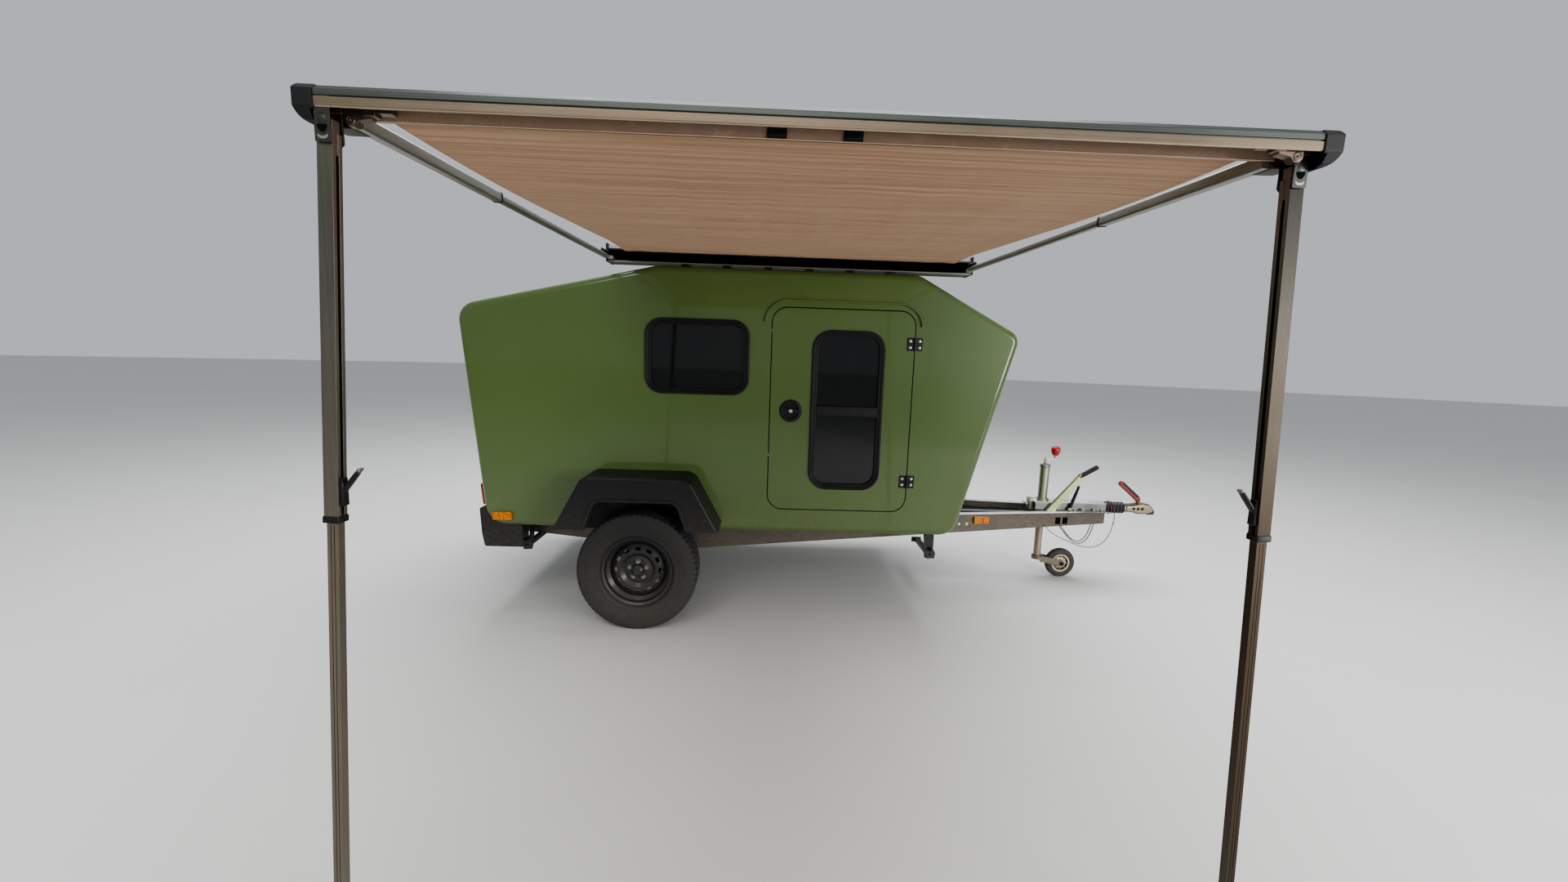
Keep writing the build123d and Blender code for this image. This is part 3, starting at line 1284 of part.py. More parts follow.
# Fabric between cassette and lead rail, with a slight sag
fabric_bend = 700.0
fabric_points = (
    # y, height of the fabric's upper face
    (cassette_front_y + 30, cassette_high - 30.3),
    (cassette_front_y - fabric_bend, cassette_high - 66),
    (lead_front_y + fabric_bend, lead_high),
    (lead_back_y + 0.5, lead_high - 12),
)
with BuildPart() as fabric:
    with BuildSketch(Plane(origin=(awning_x - fabric_half_width, 0, 0), x_dir=(0, 1, 0), z_dir=(1, 0, 0))):
        with BuildLine():
            Polyline(*[(y, up(height)) for y, height in fabric_points],
                     *[(y, up(height - fabric_thickness)) for y, height in reversed(fabric_points)],
                     close=True)
        make_face()
    extrude(amount=2 * fabric_half_width)
save(fabric, "awning_fabric")

# Awning legs: an upper channel on a pin below the rail, a sliding lower tube with a foot
leg_total = leg_pivot_height / cos(radians(leg_splay))
lower_width = leg_width - 2 * leg_wall - 1.2
lower_depth = leg_depth - 2 * leg_wall - 1.2
collar_tall = 8.0
cam_above_end = 60.0
cam_out = 34.0
cam_rise = 50.0
foot_plate = 5.0
foot_length = 64.0
foot_width = 24.0
foot_socket = 30.0
for end, sign in (("rear", -1), ("front", 1)):
    pivot = Vector(awning_x + sign * leg_offset, leg_ys[end], up(leg_pivot_height))
    down = Vector(sign * sin(radians(leg_splay)), 0, -cos(radians(leg_splay)))
    leg_plane = Plane(origin=pivot, x_dir=(0, 1, 0), z_dir=down)
    inward = 1 if (leg_plane.y_dir.X * -sign) > 0 else -1
    with BuildPart() as leg:
        with BuildSketch(leg_plane.offset(14)):
            Rectangle(leg_depth, leg_width)
            Rectangle(leg_depth - 2 * leg_wall, leg_width - 2 * leg_wall, mode=Mode.SUBTRACT)
            with Locations((0, inward * leg_width / 2)):
                Rectangle(leg_slot, 4 * leg_wall, mode=Mode.SUBTRACT)
        extrude(amount=leg_upper_length - 14)
        with BuildSketch(leg_plane.offset(-8)):
            Rectangle(leg_depth - 2 * leg_wall, leg_width - 2 * leg_wall)
        extrude(amount=60)
        with BuildSketch(leg_plane.offset(leg_upper_length - collar_tall)):
            Rectangle(leg_depth + 2, leg_width + 2)
            Rectangle(lower_depth + 0.6, lower_width + 0.6, mode=Mode.SUBTRACT)
        extrude(amount=collar_tall)
        with BuildSketch(Plane(origin=pivot - Vector(0, leg_depth, 0), x_dir=(1, 0, 0), z_dir=(0, 1, 0))):
            Circle(leg_pin_radius + pin_clearance)
        extrude(amount=2 * leg_depth, mode=Mode.SUBTRACT)
        # cam lever that locks the slide, and its seat over the slot
        side = leg_plane.y_dir * inward
        cam_foot = pivot + down * (leg_upper_length - cam_above_end) + side * (leg_width / 2 + 1)
        cam_run = (side * cam_out - down * cam_rise).normalized()
        with BuildSketch(Plane(origin=cam_foot, x_dir=(0, 1, 0), z_dir=cam_run)):
            RectangleRounded(12, 6, 2)
        extrude(amount=hypot(cam_out, cam_rise))
        with BuildSketch(Plane(origin=cam_foot - down * 20 + side, x_dir=(0, 1, 0), z_dir=down)):
            Rectangle(14, 8)
        extrude(amount=44)
    save(leg, f"awning_leg_{end}")
    with BuildPart() as lower:
        with BuildSketch(leg_plane.offset(leg_upper_length - leg_overlap)):
            Rectangle(lower_depth, lower_width)
        extrude(amount=leg_total - leg_upper_length + leg_overlap - 10)
        foot_x = pivot.X + down.X * leg_total
        with BuildSketch(Plane(origin=(foot_x, pivot.Y, ground), x_dir=(1, 0, 0), z_dir=(0, 0, 1))):
            RectangleRounded(foot_length, foot_width, 8)
        extrude(amount=foot_plate)
        with BuildSketch(Plane(origin=(foot_x, pivot.Y, ground), x_dir=(1, 0, 0), z_dir=(0, 0, 1))):
            Rectangle(foot_length / 2, foot_width)
        extrude(amount=foot_socket)
    save(lower, f"awning_foot_{end}")
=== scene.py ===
"""A small green sleeping trailer with its side awning wound out, dressed over its CAD frame.

Metres. The origin is the centre of the tow ball, +X points forward and the awning side is at -Y.
Points are written as x, y and height above the ground in millimetres, and at() turns them into metres.
"""
import json
import math

import bmesh
import bpy
from mathutils import Matrix, Vector


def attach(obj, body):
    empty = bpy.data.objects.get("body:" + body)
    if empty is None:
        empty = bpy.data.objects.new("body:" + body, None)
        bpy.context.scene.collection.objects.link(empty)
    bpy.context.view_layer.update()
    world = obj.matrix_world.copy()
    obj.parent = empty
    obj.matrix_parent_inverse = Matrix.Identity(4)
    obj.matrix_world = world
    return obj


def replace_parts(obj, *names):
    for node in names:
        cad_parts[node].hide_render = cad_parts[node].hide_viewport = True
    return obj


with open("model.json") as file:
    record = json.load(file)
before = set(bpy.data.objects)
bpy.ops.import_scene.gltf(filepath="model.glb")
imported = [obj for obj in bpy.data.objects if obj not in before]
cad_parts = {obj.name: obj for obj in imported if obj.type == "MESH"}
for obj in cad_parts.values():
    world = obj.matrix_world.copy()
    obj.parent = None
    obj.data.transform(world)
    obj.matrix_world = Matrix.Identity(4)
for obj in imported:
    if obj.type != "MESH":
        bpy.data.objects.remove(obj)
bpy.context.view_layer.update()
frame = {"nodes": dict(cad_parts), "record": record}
scene = bpy.context.scene
nodes = frame["nodes"]
slot_of = {row["node"]: row["material_slot"] for row in frame["record"]["subparts"]}

# Places of the solids, in millimetres
MM = 0.001
BALL_HEIGHT = 480.0
HALF_WIDTH = 740.0
SIDES = (("right", -1), ("left", 1))
DOOR_HINGE_X, DOOR_HINGE_HEIGHTS = -1828, (793, 1539)
LATCH_X, LATCH_HEIGHT = -2478, 1165
DOOR_WINDOW = (-2177.0, 1170.0, 388.0, 860.0, 100.0)
SIDE_WINDOW = (-2981.0, 1437.0, 552.0, 396.0, 90.0)
WINDOW_INSET = 31
TAIL_FOOT, TAIL_TOP = Vector((-4121, 0, 488)), Vector((-4240, 0, 1667))
HATCH_HINGE_HEIGHT, PLATE_HEIGHT, LAMP_HEIGHT = 1490, 666, 652
RAIL_FRONT, RAIL_KNEE = Vector((-300, -75, 0)), Vector((-3100, -497, 0))
MARKER_ALONG, MARKER_HEIGHT = 905, 444
AXLE_X, WHEEL_Y, WHEEL_HEIGHT = -3260, 860, 314
COUPLING_HEIGHT = 500
LEVER_Y = -79
JOCKEY_X, JOCKEY_WHEEL_X, JOCKEY_WHEEL_HEIGHT = -703, -539, 100
AWNING_X, LEG_REACH, PIVOT_HEIGHT = -2500, 912, 1838
LEG_YS = {"rear": -2736, "front": -2708}
LEG_SPLAY = math.radians(3.2)


def at(x, y, height):
    return Vector((x, y, height - BALL_HEIGHT)) * MM


def linked(name, data):
    made = bpy.data.objects.new(name, data)
    scene.collection.objects.link(made)
    return made


def scaled(colour, factor, lift=0.0):
    return tuple(value * factor + lift for value in colour)


# Shaders


def feed(tree, place, value):
    """Joins a field or a socket to a node's socket, or sets it to a value."""
    if isinstance(value, Field):
        value = value.socket
    if isinstance(value, bpy.types.NodeSocket):
        tree.links.new(value, place)
    else:
        place.default_value = value


class Field:
    """A number that changes over a surface, with sums written as plain arithmetic."""

    def __init__(self, tree, socket):
        self.tree = tree
        self.socket = socket

    def reckon(self, operation, *values):
        node = self.tree.nodes.new("ShaderNodeMath")
        node.operation = operation
        for place, value in zip(node.inputs, values):
            feed(self.tree, place, value)
        return Field(self.tree, node.outputs[0])

    def __add__(self, other):
        return self.reckon("ADD", self, other)

    __radd__ = __add__

    def __sub__(self, other):
        return self.reckon("SUBTRACT", self, other)

    def __rsub__(self, other):
        return self.reckon("SUBTRACT", other, self)

    def __mul__(self, other):
        return self.reckon("MULTIPLY", self, other)

    __rmul__ = __mul__

    def step(self, low, high):
        """0 below low, 1 above high, smooth between; low may be the larger."""
        node = self.tree.nodes.new("ShaderNodeMapRange")
        node.interpolation_type = "SMOOTHSTEP"
        node.inputs["From Min"].default_value = low
        node.inputs["From Max"].default_value = high
        self.tree.links.new(self.socket, node.inputs["Value"])
        return Field(self.tree, node.outputs["Result"])


class Finish:
    """A material: its Principled shader's fixed values, and the fields that vary them."""

    def __init__(self, name, colour, roughness, edge=0.0, **fixed):
        self.name = name
        self.material = bpy.data.materials.new(name)
        self.material.use_nodes = True
        self.tree = self.material.node_tree
        self.shader = self.tree.nodes["Principled BSDF"]
        self.shader.inputs["Base Color"].default_value = (*colour, 1)
        self.shader.inputs["Roughness"].default_value = roughness
        for socket, value in fixed.items():
            self.shader.inputs[socket.replace("_", " ").title().replace("Ior", "IOR")].default_value = value
        self.place = self.node("ShaderNodeTexCoord").outputs["Object"]
        self.normal = None
        if edge:
            self.normal = self.node("ShaderNodeBevel", {"samples": 4}, Radius=edge).outputs["Normal"]
            self.tree.links.new(self.normal, self.shader.inputs["Normal"])

    def node(self, kind, settings=None, **sockets):
        """Any node: its settings, then its sockets, each given a socket, a field or a value."""
        node = self.tree.nodes.new(kind)
        for name, value in (settings or {}).items():
            setattr(node, name, value)
        for name, value in sockets.items():
            feed(self.tree, node.inputs[name.replace("_", " ")], value)
        return node

    def noise(self, scale, detail=3.0, stretch=(1, 1, 1), rough=0.55):
        """Cloudy values round 0.5, with their grain drawn out where stretch is smaller."""
        stretched = self.node("ShaderNodeVectorMath", {"operation": "MULTIPLY"}, Vector=self.place)
        stretched.inputs[1].default_value = stretch
        node = self.node("ShaderNodeTexNoise", Vector=stretched.outputs[0], Scale=scale, Detail=detail,
                         Roughness=rough)
        return Field(self.tree, node.outputs["Fac"])

    def cells(self, scale, output="Distance"):
        node = self.node("ShaderNodeTexVoronoi", Vector=self.place, Scale=scale)
        return Field(self.tree, node.outputs[output])

    def waves(self, scale, direction):
        node = self.node("ShaderNodeTexWave", {"bands_direction": direction}, Vector=self.place, Scale=scale)
        return Field(self.tree, node.outputs["Fac"])

    def coordinate(self, axis):
        """One coordinate of the surface point, in metres; Z counts from the ground."""
        node = self.node("ShaderNodeSeparateXYZ", Vector=self.place)
        value = Field(self.tree, node.outputs[axis])
        return value + BALL_HEIGHT * MM if axis == "Z" else value

    def blend(self, amount, first, second):
        node = self.node("ShaderNodeMix", {"data_type": "RGBA"}, Factor=amount)
        for place, colour in ((node.inputs[6], first), (node.inputs[7], second)):
            feed(self.tree, place, (*colour, 1) if isinstance(colour, tuple) else colour)
        return node.outputs[2]

    def paint(self, **fields):
        """Joins fields to the shader's own sockets."""
        for name, value in fields.items():
            feed(self.tree, self.shader.inputs[name.replace("_", " ").title()], value)

    def relief(self, height, depth, strength=1.0):
        """Fine bumps, the field times a depth in metres."""
        bump = self.node("ShaderNodeBump", Height=height, Distance=depth, Strength=strength)
        if self.normal:
            self.tree.links.new(self.normal, bump.inputs["Normal"])
        self.normal = bump.outputs["Normal"]
        self.tree.links.new(self.normal, self.shader.inputs["Normal"])
        return self


DUST = (0.30, 0.27, 0.22)
ALONG_X, ALONG_Y, ALONG_Z, EVEN = (3, 420, 420), (420, 3, 420), (420, 420, 3), (60, 60, 60)


def dust_film(finish, low, high, grain=60.0):
    """Road dust, thickest near the ground, finely speckled."""
    speckles = finish.noise(grain, 8, rough=0.7).step(0.3, 0.75)
    return finish.coordinate("Z").step(high, low) * (0.45 + 0.75 * speckles)


def banded(finish, tone, bands):
    """The tone, changed to another from a value of one coordinate on, once for each band."""
    for axis, low, high, other in bands:
        tone = finish.blend(finish.coordinate(axis).step(low, high), tone, other)
    return tone


def gloss_paint(name, colour, shade, dusty=0.10):
    finish = Finish(name, colour, 0.32, edge=0.004, specular_ior_level=0.22, coat_roughness=0.06,
                    coat_ior=1.42, coat_weight=0.8)
    film = dust_film(finish, 0.45, 0.9) * dusty
    tone = finish.blend(finish.noise(1.1, 2).step(0.3, 0.7), colour, shade)
    finish.paint(base_color=finish.blend(film, tone, DUST),
                 roughness=0.30 + 0.10 * finish.noise(40, 5) + 0.5 * film,
                 coat_weight=0.8 - 1.2 * film)
    return finish.relief(finish.noise(55, 2), 0.0006, 0.25)


def moulded_plastic(name, colour, roughness=0.46, grain=900.0, dusty=0.0):
    finish = Finish(name, colour, roughness, edge=0.003, ior=1.45, specular_ior_level=0.35)
    film = dust_film(finish, 0.30, 0.85) * dusty
    worn = finish.noise(30, 7, rough=0.7).step(0.45, 0.8)
    faded = scaled(colour, 1.35, 0.002)
    finish.paint(base_color=finish.blend(film, finish.blend(worn, colour, faded), DUST),
                 roughness=roughness - 0.06 + 0.14 * finish.noise(25, 4) + 0.3 * film)
    return finish.relief(finish.noise(grain, 2), 0.0004, 0.35)


def zinc(name, tone=(0.225, 0.235, 0.23), spangle=70.0, bands=()):
    finish = Finish(name, tone, 0.42, edge=0.002, metallic=1.0)
    flakes = finish.cells(spangle, "Color")
    stain = finish.noise(6, 7, rough=0.65).step(0.42, 0.75)
    film = dust_film(finish, 0.2, 0.6, 90) * 0.25
    bright = finish.blend(flakes, scaled(tone, 0.80), scaled(tone, 1.12))
    dull = banded(finish, finish.blend(stain * 0.5, bright, scaled(tone, 0.62)), bands)
    finish.paint(base_color=finish.blend(film, dull, DUST), roughness=0.30 + 0.16 * flakes + 0.22 * stain,
                 metallic=1.0 - 0.6 * film - 0.15 * stain)
    return finish.relief(finish.noise(160, 4), 0.0006, 0.3)


def enamel(name, colour, roughness=0.4, chips=0.0, dusty=0.15):
    finish = Finish(name, colour, roughness, edge=0.0015, coat_weight=0.2, coat_roughness=0.15,
                    specular_ior_level=0.4)
    film = dust_film(finish, 0.0, 0.6, 120) * dusty
    tone = finish.blend(finish.noise(11, 5).step(0.35, 0.7), colour, scaled(colour, 0.72))
    if chips:
        bare = finish.noise(85, 6, rough=0.7).step(0.66, 0.70) * chips
        tone = finish.blend(bare, tone, (0.20, 0.13, 0.09))
    finish.paint(base_color=finish.blend(film, tone, DUST),
                 roughness=roughness + 0.12 * finish.noise(30, 4) + 0.3 * film)
    return finish.relief(finish.noise(240, 3), 0.0003, 0.3)


def anodised(name, stretch, tone=(0.235, 0.215, 0.185), bands=()):
    """An extruded profile with drawing lines along its own length."""
    finish = Finish(name, tone, 0.36, edge=0.0015, metallic=0.8)
    lines = finish.noise(1.0, 5, stretch)
    cloudy = finish.noise(5, 4).step(0.3, 0.8)
    base = banded(finish, tone, bands)
    shade = finish.blend(0.22, base, (0.0, 0.0, 0.0))
    finish.paint(base_color=finish.blend(lines.step(0.35, 0.65) * 0.6 + cloudy * 0.4, shade, base),
                 roughness=0.28 + 0.14 * lines + 0.08 * cloudy)
    return finish.relief(lines, 0.0003, 0.35)


def rubber(name, colour=(0.0105, 0.0105, 0.011), roughness=0.66, dusty=0.16, sheen=0.0):
    finish = Finish(name, colour, roughness, edge=0.0015, coat_weight=sheen, coat_roughness=0.22,
                    specular_ior_level=0.35)
    film = dust_film(finish, 0.0, 0.75, 150) * dusty
    tone = finish.blend(finish.noise(28, 7), colour, scaled(colour, 1.35, 0.002))
    finish.paint(base_color=finish.blend(film, tone, DUST),
                 roughness=roughness - 0.05 + 0.2 * finish.noise(45, 5))
    return finish.relief(finish.noise(420, 4), 0.0006, 0.4)


def acrylic(name):
    finish = Finish(name, (0.004, 0.005, 0.005), 0.05, edge=0.002, specular_ior_level=0.25, coat_weight=0.45,
                    coat_roughness=0.015, coat_ior=1.45)
    smears = finish.noise(7, 6, (1, 1, 0.35)).step(0.45, 0.85)
    finish.paint(base_color=finish.blend(smears * 0.5, (0.004, 0.005, 0.005), (0.012, 0.013, 0.012)),
                 roughness=0.04 + 0.10 * smears)
    return finish.relief(finish.noise(3, 2), 0.004, 0.12)


def lens(name, colour):
    finish = Finish(name, colour, 0.12, edge=0.002, coat_weight=0.25, coat_roughness=0.03,
                    specular_ior_level=0.3)
    ribs = finish.waves(70, "Z")
    cells = finish.cells(130)
    finish.paint(base_color=finish.blend(cells.step(0.1, 0.6), colour, scaled(colour, 0.45)),
                 roughness=0.08 + 0.12 * cells)
    return finish.relief(ribs + 0.5 * cells, 0.0008, 0.3)


def cloth(name):
    """Coated awning cloth with lengthwise streaks, letting some light through."""
    finish = Finish(name, (0.28, 0.175, 0.108), 0.8, sheen_weight=0.1, specular_ior_level=0.2)
    streaks = finish.noise(1.0, 4, (1.2, 85, 85)).step(0.36, 0.64)
    bands = finish.noise(1.0, 3, (0.5, 9, 9)).step(0.3, 0.7)
    stains = finish.noise(2.2, 6).step(0.5, 0.85)
    tone = finish.blend(streaks * 0.75, (0.215, 0.125, 0.072), (0.33, 0.215, 0.135))
    tone = finish.blend(bands * 0.30, tone, (0.25, 0.165, 0.11))
    tone = finish.blend(stains * 0.18, tone, (0.15, 0.10, 0.065))
    finish.paint(base_color=tone, roughness=0.68 + 0.16 * streaks)
    finish.relief(finish.noise(1.0, 2, (900, 900, 900)) + 0.6 * streaks, 0.0006, 0.4)
    through = finish.node("ShaderNodeBsdfTranslucent", Color=tone)
    both = finish.node("ShaderNodeMixShader", Fac=0.3)
    output = finish.tree.nodes["Material Output"]
    finish.tree.links.new(finish.shader.outputs[0], both.inputs[1])
    finish.tree.links.new(through.outputs[0], both.inputs[2])
    finish.tree.links.new(both.outputs[0], output.inputs["Surface"])
    return finish


def chrome(name, tone, roughness):
    finish = Finish(name, tone, roughness, edge=0.0008, metallic=1.0)
    marks = finish.noise(60, 6, rough=0.7)
    finish.paint(base_color=finish.blend(marks.step(0.4, 0.8), tone, scaled(tone, 0.7)),
                 roughness=roughness + 0.2 * marks)
    return finish.relief(marks, 0.0002, 0.2)


finishes = {finish.name: finish for finish in (
    gloss_paint("green_gelcoat", (0.062, 0.098, 0.024), (0.068, 0.110, 0.029)),
    moulded_plastic("black_moulding", (0.0065, 0.0065, 0.007), dusty=0.10),
    moulded_plastic("black_fittings", (0.006, 0.006, 0.0065), 0.34, 500.0),
    acrylic("dark_acrylic"),
    zinc("galvanised_steel"),
    enamel("black_steel", (0.010, 0.010, 0.011), 0.42),
    enamel("cream_rim", (0.50, 0.43, 0.29), 0.42, 0.8, 0.15),
    rubber("black_tyre"),
    rubber("black_rubber", (0.008, 0.008, 0.009), 0.42, 0.08, 0.3),
    enamel("red_cable", (0.16, 0.018, 0.020), 0.36, dusty=0.0),
    anodised("anodised_aluminium", ALONG_X, (0.22, 0.172, 0.123), (
        ("Y", -2.7510, -2.7500, (0.20, 0.145, 0.105)), ("Z", 1.8795, 1.8800, (0.095, 0.107, 0.096)),
        # Below 1862 mm the lead rail turns dark: the brackets' black, together with painted shade under the
        # rail's lip
        ("Z", 1.8640, 1.8636, (0.40, 0.31, 0.22)), ("Z", 1.8622, 1.8618, (0.060, 0.062, 0.054)))),
    # Near-black cassette: its dark colour together with painted shade on its shadowed underside
    moulded_plastic("cassette_metal", (0.012, 0.012, 0.012), 0.40, 1400.0),
    cloth("awning_canvas"),
    lens("red_lens", (0.42, 0.004, 0.004)),
    lens("amber_lens", (0.85, 0.255, 0.001)),
    enamel("plate_white", (0.70, 0.70, 0.66), 0.30, dusty=0.1),
)}
aluminium_across = anodised("anodised_across", ALONG_Y, (0.30, 0.29, 0.26))
aluminium_upright = anodised("anodised_upright", ALONG_Z)
maroon_rubber = rubber("maroon_rubber", (0.010, 0.003, 0.0035), 0.62, 0.0)
steel_bolts = chrome("steel_bolts", (0.50, 0.49, 0.46), 0.24)
red_plastic = enamel("red_plastic", (0.36, 0.012, 0.012), 0.30, dusty=0.0)
handle_red = enamel("handle_red", (0.21, 0.010, 0.010), 0.36, dusty=0.0)
brown_cast = anodised("brown_cast", EVEN, (0.165, 0.120, 0.093))
# The brackets' dark faces: their black together with painted shade under the rail's lip
bracket_black_and_shade = anodised("bracket_black_and_shade", EVEN, (0.060, 0.062, 0.054))
rail_brown = moulded_plastic("rail_brown", (0.27, 0.182, 0.130), 0.5, 700.0)
rail_edge = moulded_plastic("rail_edge", (0.62, 0.46, 0.33), 0.5, 700.0)
brown_plastic = moulded_plastic("brown_plastic", (0.035, 0.022, 0.016), 0.45, 800.0)
# Flat near-black with almost no reflection: painted shade in openings, slots and the cassette's mouth, and the
# colour of the legs' thin lines
painted_shade_black = moulded_plastic("painted_shade_black", (0.003, 0.003, 0.003), 0.7, 500.0)
painted_shade_black.shader.inputs["Specular IOR Level"].default_value = 0.05

# Solids with a finish of their own: zinc lit by the sky on its top edges, and the awning's legs with painted
# light and shade
SKY_LIT = (0.72, 0.76, 0.80)
own_finish = {
    "awning_rafters": aluminium_across,
    "handbrake": zinc("lever_zinc", (0.30, 0.34, 0.19), 110.0),
    "chassis_rails": zinc("rail_zinc", (0.094, 0.082, 0.067), bands=(("Z", 0.4835, 0.4842, SKY_LIT),)),
    "overrun_housing": zinc("housing_zinc", (0.175, 0.175, 0.165), bands=(("Z", 0.5370, 0.5378, SKY_LIT),)),
    "coupling": zinc("coupling_zinc", (0.25, 0.220, 0.150)),
    "jockey_outer_tube": zinc("tube_zinc", (0.34, 0.35, 0.25), 110.0),
    "jockey_inner_tube": zinc("inner_tube_zinc", (0.34, 0.27, 0.20)),
    "jockey_fork": zinc("fork_zinc", (0.155, 0.135, 0.105)),
}
# Painted light and shade on the legs: front faces darker near the top, and every face turning to another tone
# from 1.75 m down to 1 m, standing for how light falls on them; the front leg is painted darker than the rear
# one
REAR_LEG_LIGHT_AND_SHADE, FRONT_FACE_SHADE = ((0.125, 0.124, 0.098), (0.187, 0.158, 0.126)), (0.028, 0.025, 0.020)
for part, face_y, upper, lower in (
        ("leg_rear", -2.7485, *REAR_LEG_LIGHT_AND_SHADE), ("foot_rear", -2.7453, *REAR_LEG_LIGHT_AND_SHADE),
        ("leg_front", -2.7205, FRONT_FACE_SHADE, (0.054, 0.041, 0.026)),
        ("foot_front", -2.7173, FRONT_FACE_SHADE, (0.068, 0.050, 0.032))):
    own_finish[f"awning_{part}"] = anodised(f"anodised_{part}", ALONG_Z, (0.21, 0.168, 0.135), (
        ("Y", face_y + 0.0012, face_y + 0.0006, upper), ("Z", 1.75, 1.00, lower)))
for name, node in nodes.items():
    node.data.materials.clear()
    node.data.materials.append(own_finish.get(name, finishes[slot_of[name]]).material)


# Forms


def circle(middle, side, other, radius, steps):
    turns = (math.tau * i / steps for i in range(steps))
    return [middle + (side * math.cos(turn) + other * math.sin(turn)) * radius for turn in turns]


def mirrored(half):
    """An outline's half of (x, other) points with its mirror image in x = 0."""
    return half + [(-x, other) for x, other in reversed(half) if x]


class Shape:
    """One mesh piece put together from simple forms, all given in metres."""

    def __init__(self):
        self.mesh = bmesh.new()

    def rows(self, rows, wrap=True, loop=False, caps=False):
        """Faces between rows of points; wrap closes each row, loop joins the last row to the first."""
        made = [[self.mesh.verts.new(point) for point in row] for row in rows]
        following = made[1:] + made[:1] if loop else made[1:]
        count = len(rows[0])
        for here, there in zip(made, following):
            for i in range(count if wrap else count - 1):
                j = (i + 1) % count
                self.mesh.faces.new((here[i], here[j], there[j], there[i]))
        if caps:
            self.mesh.faces.new(made[0][::-1])
            self.mesh.faces.new(made[-1])

    def prism(self, outline, push):
        """An outline of points pushed along a vector."""
        self.rows([outline, [point + push for point in outline]], caps=True)

    def plate(self, outline, y, thick):
        """An outline of (x, height) at y, pushed along Y; all in millimetres."""
        self.prism([at(x, y, height) for x, height in outline], Vector((0, thick * MM, 0)))

    def box(self, low, high):
        corners = ((low.x, low.y), (high.x, low.y), (high.x, high.y), (low.x, high.y))
        self.prism([Vector((x, y, low.z)) for x, y in corners], Vector((0, 0, high.z - low.z)))

    def lathe(self, centre, axis, profile, steps=32):
        """A profile of (radius, distance along the axis) in millimetres turned round an axis."""
        axis = Vector(axis).normalized()
        side = axis.orthogonal().normalized()
        other = axis.cross(side)
        self.rows([circle(centre + axis * distance * MM, side, other, max(radius, 0.001) * MM, steps)
                   for radius, distance in profile])

    def tube(self, points, radius, steps=16):
        """A round bar along points."""
        rings = []
        for i, point in enumerate(points):
            ahead = (points[min(i + 1, len(points) - 1)] - points[max(i - 1, 0)]).normalized()
            side = ahead.cross(Vector((0.13, 1, 0.21))).normalized()
            other = ahead.cross(side)
            rings.append(circle(point, side, other, radius, steps))
        self.rows(rings, caps=True)

    def piece(self, name, slot, finish=None, body="trailer", soft=0.0, angle=35):
        """The finished object on its body; soft rounds its edges, and shading breaks at angle degrees."""
        bmesh.ops.remove_doubles(self.mesh, verts=self.mesh.verts, dist=1e-7)
        bmesh.ops.recalc_face_normals(self.mesh, faces=self.mesh.faces)
        mesh = bpy.data.meshes.new(name)
        self.mesh.to_mesh(mesh)
        self.mesh.free()
        mesh.materials.append((finish or finishes[slot]).material)
        mesh.shade_smooth()
        mesh.set_sharp_from_angle(angle=math.radians(angle))
        made = linked(name, mesh)
        if soft:
            rounding = made.modifiers.new("rounded", "BEVEL")
            rounding.width = soft
            rounding.segments = 2
            rounding.limit_method = "ANGLE"
            rounding.angle_limit = math.radians(40)
        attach(made, body)
        return made


def dome_bolt(shape, centre, axis, radius=5.5):
    shape.lathe(centre, axis, [(radius + 2, -0.5), (radius + 2, 0.8), (radius, 1.0), (radius, 1.8),
                               (radius * 0.85, 3.2), (radius * 0.5, 4.2), (0, 4.6)], 20)


def hex_bolt(shape, centre, axis, across, tall, stub=0.0):
    """A washer, a six-sided head and perhaps the thread's end."""
    corner = across / 1.732
    end = tall + stub
    shape.lathe(centre, axis, [(corner * 1.35, -0.5), (corner * 1.35, 1.6), (0, 1.6)], 24)
    head = [(corner, 1.5), (corner, tall), (corner * 0.82, tall + 1.2), (0, tall + 1.2)]
    shape.lathe(centre, axis, head, 6)
    if stub:
        shape.lathe(centre, axis, [(across * 0.3, tall), (across * 0.3, end), (across * 0.22, end + 1),
                                   (0, end + 1)], 12)


def rounded(width, tall, corner, steps=8):
    """Points round a rectangle with round corners, as (across, up) in millimetres."""
    points = []
    for turn, (sx, sy) in enumerate(((1, 1), (-1, 1), (-1, -1), (1, -1))):
        for i in range(steps + 1):
            angle = math.pi / 2 * (turn + i / steps)
            points.append((sx * (width / 2 - corner) + corner * math.cos(angle),
                           sy * (tall / 2 - corner) + corner * math.sin(angle)))
    return points


def wall_ring(shape, sign, x, height, width, tall, corner, profile):
    """A closed profile of (inset, proud) run round a rounded rectangle on a side wall."""
    shape.rows([[at(x + across, sign * (HALF_WIDTH + proud), height + rise)
                 for across, rise in rounded(width - 2 * inset, tall - 2 * inset, max(corner - inset, 1))]
                for inset, proud in profile], loop=True)


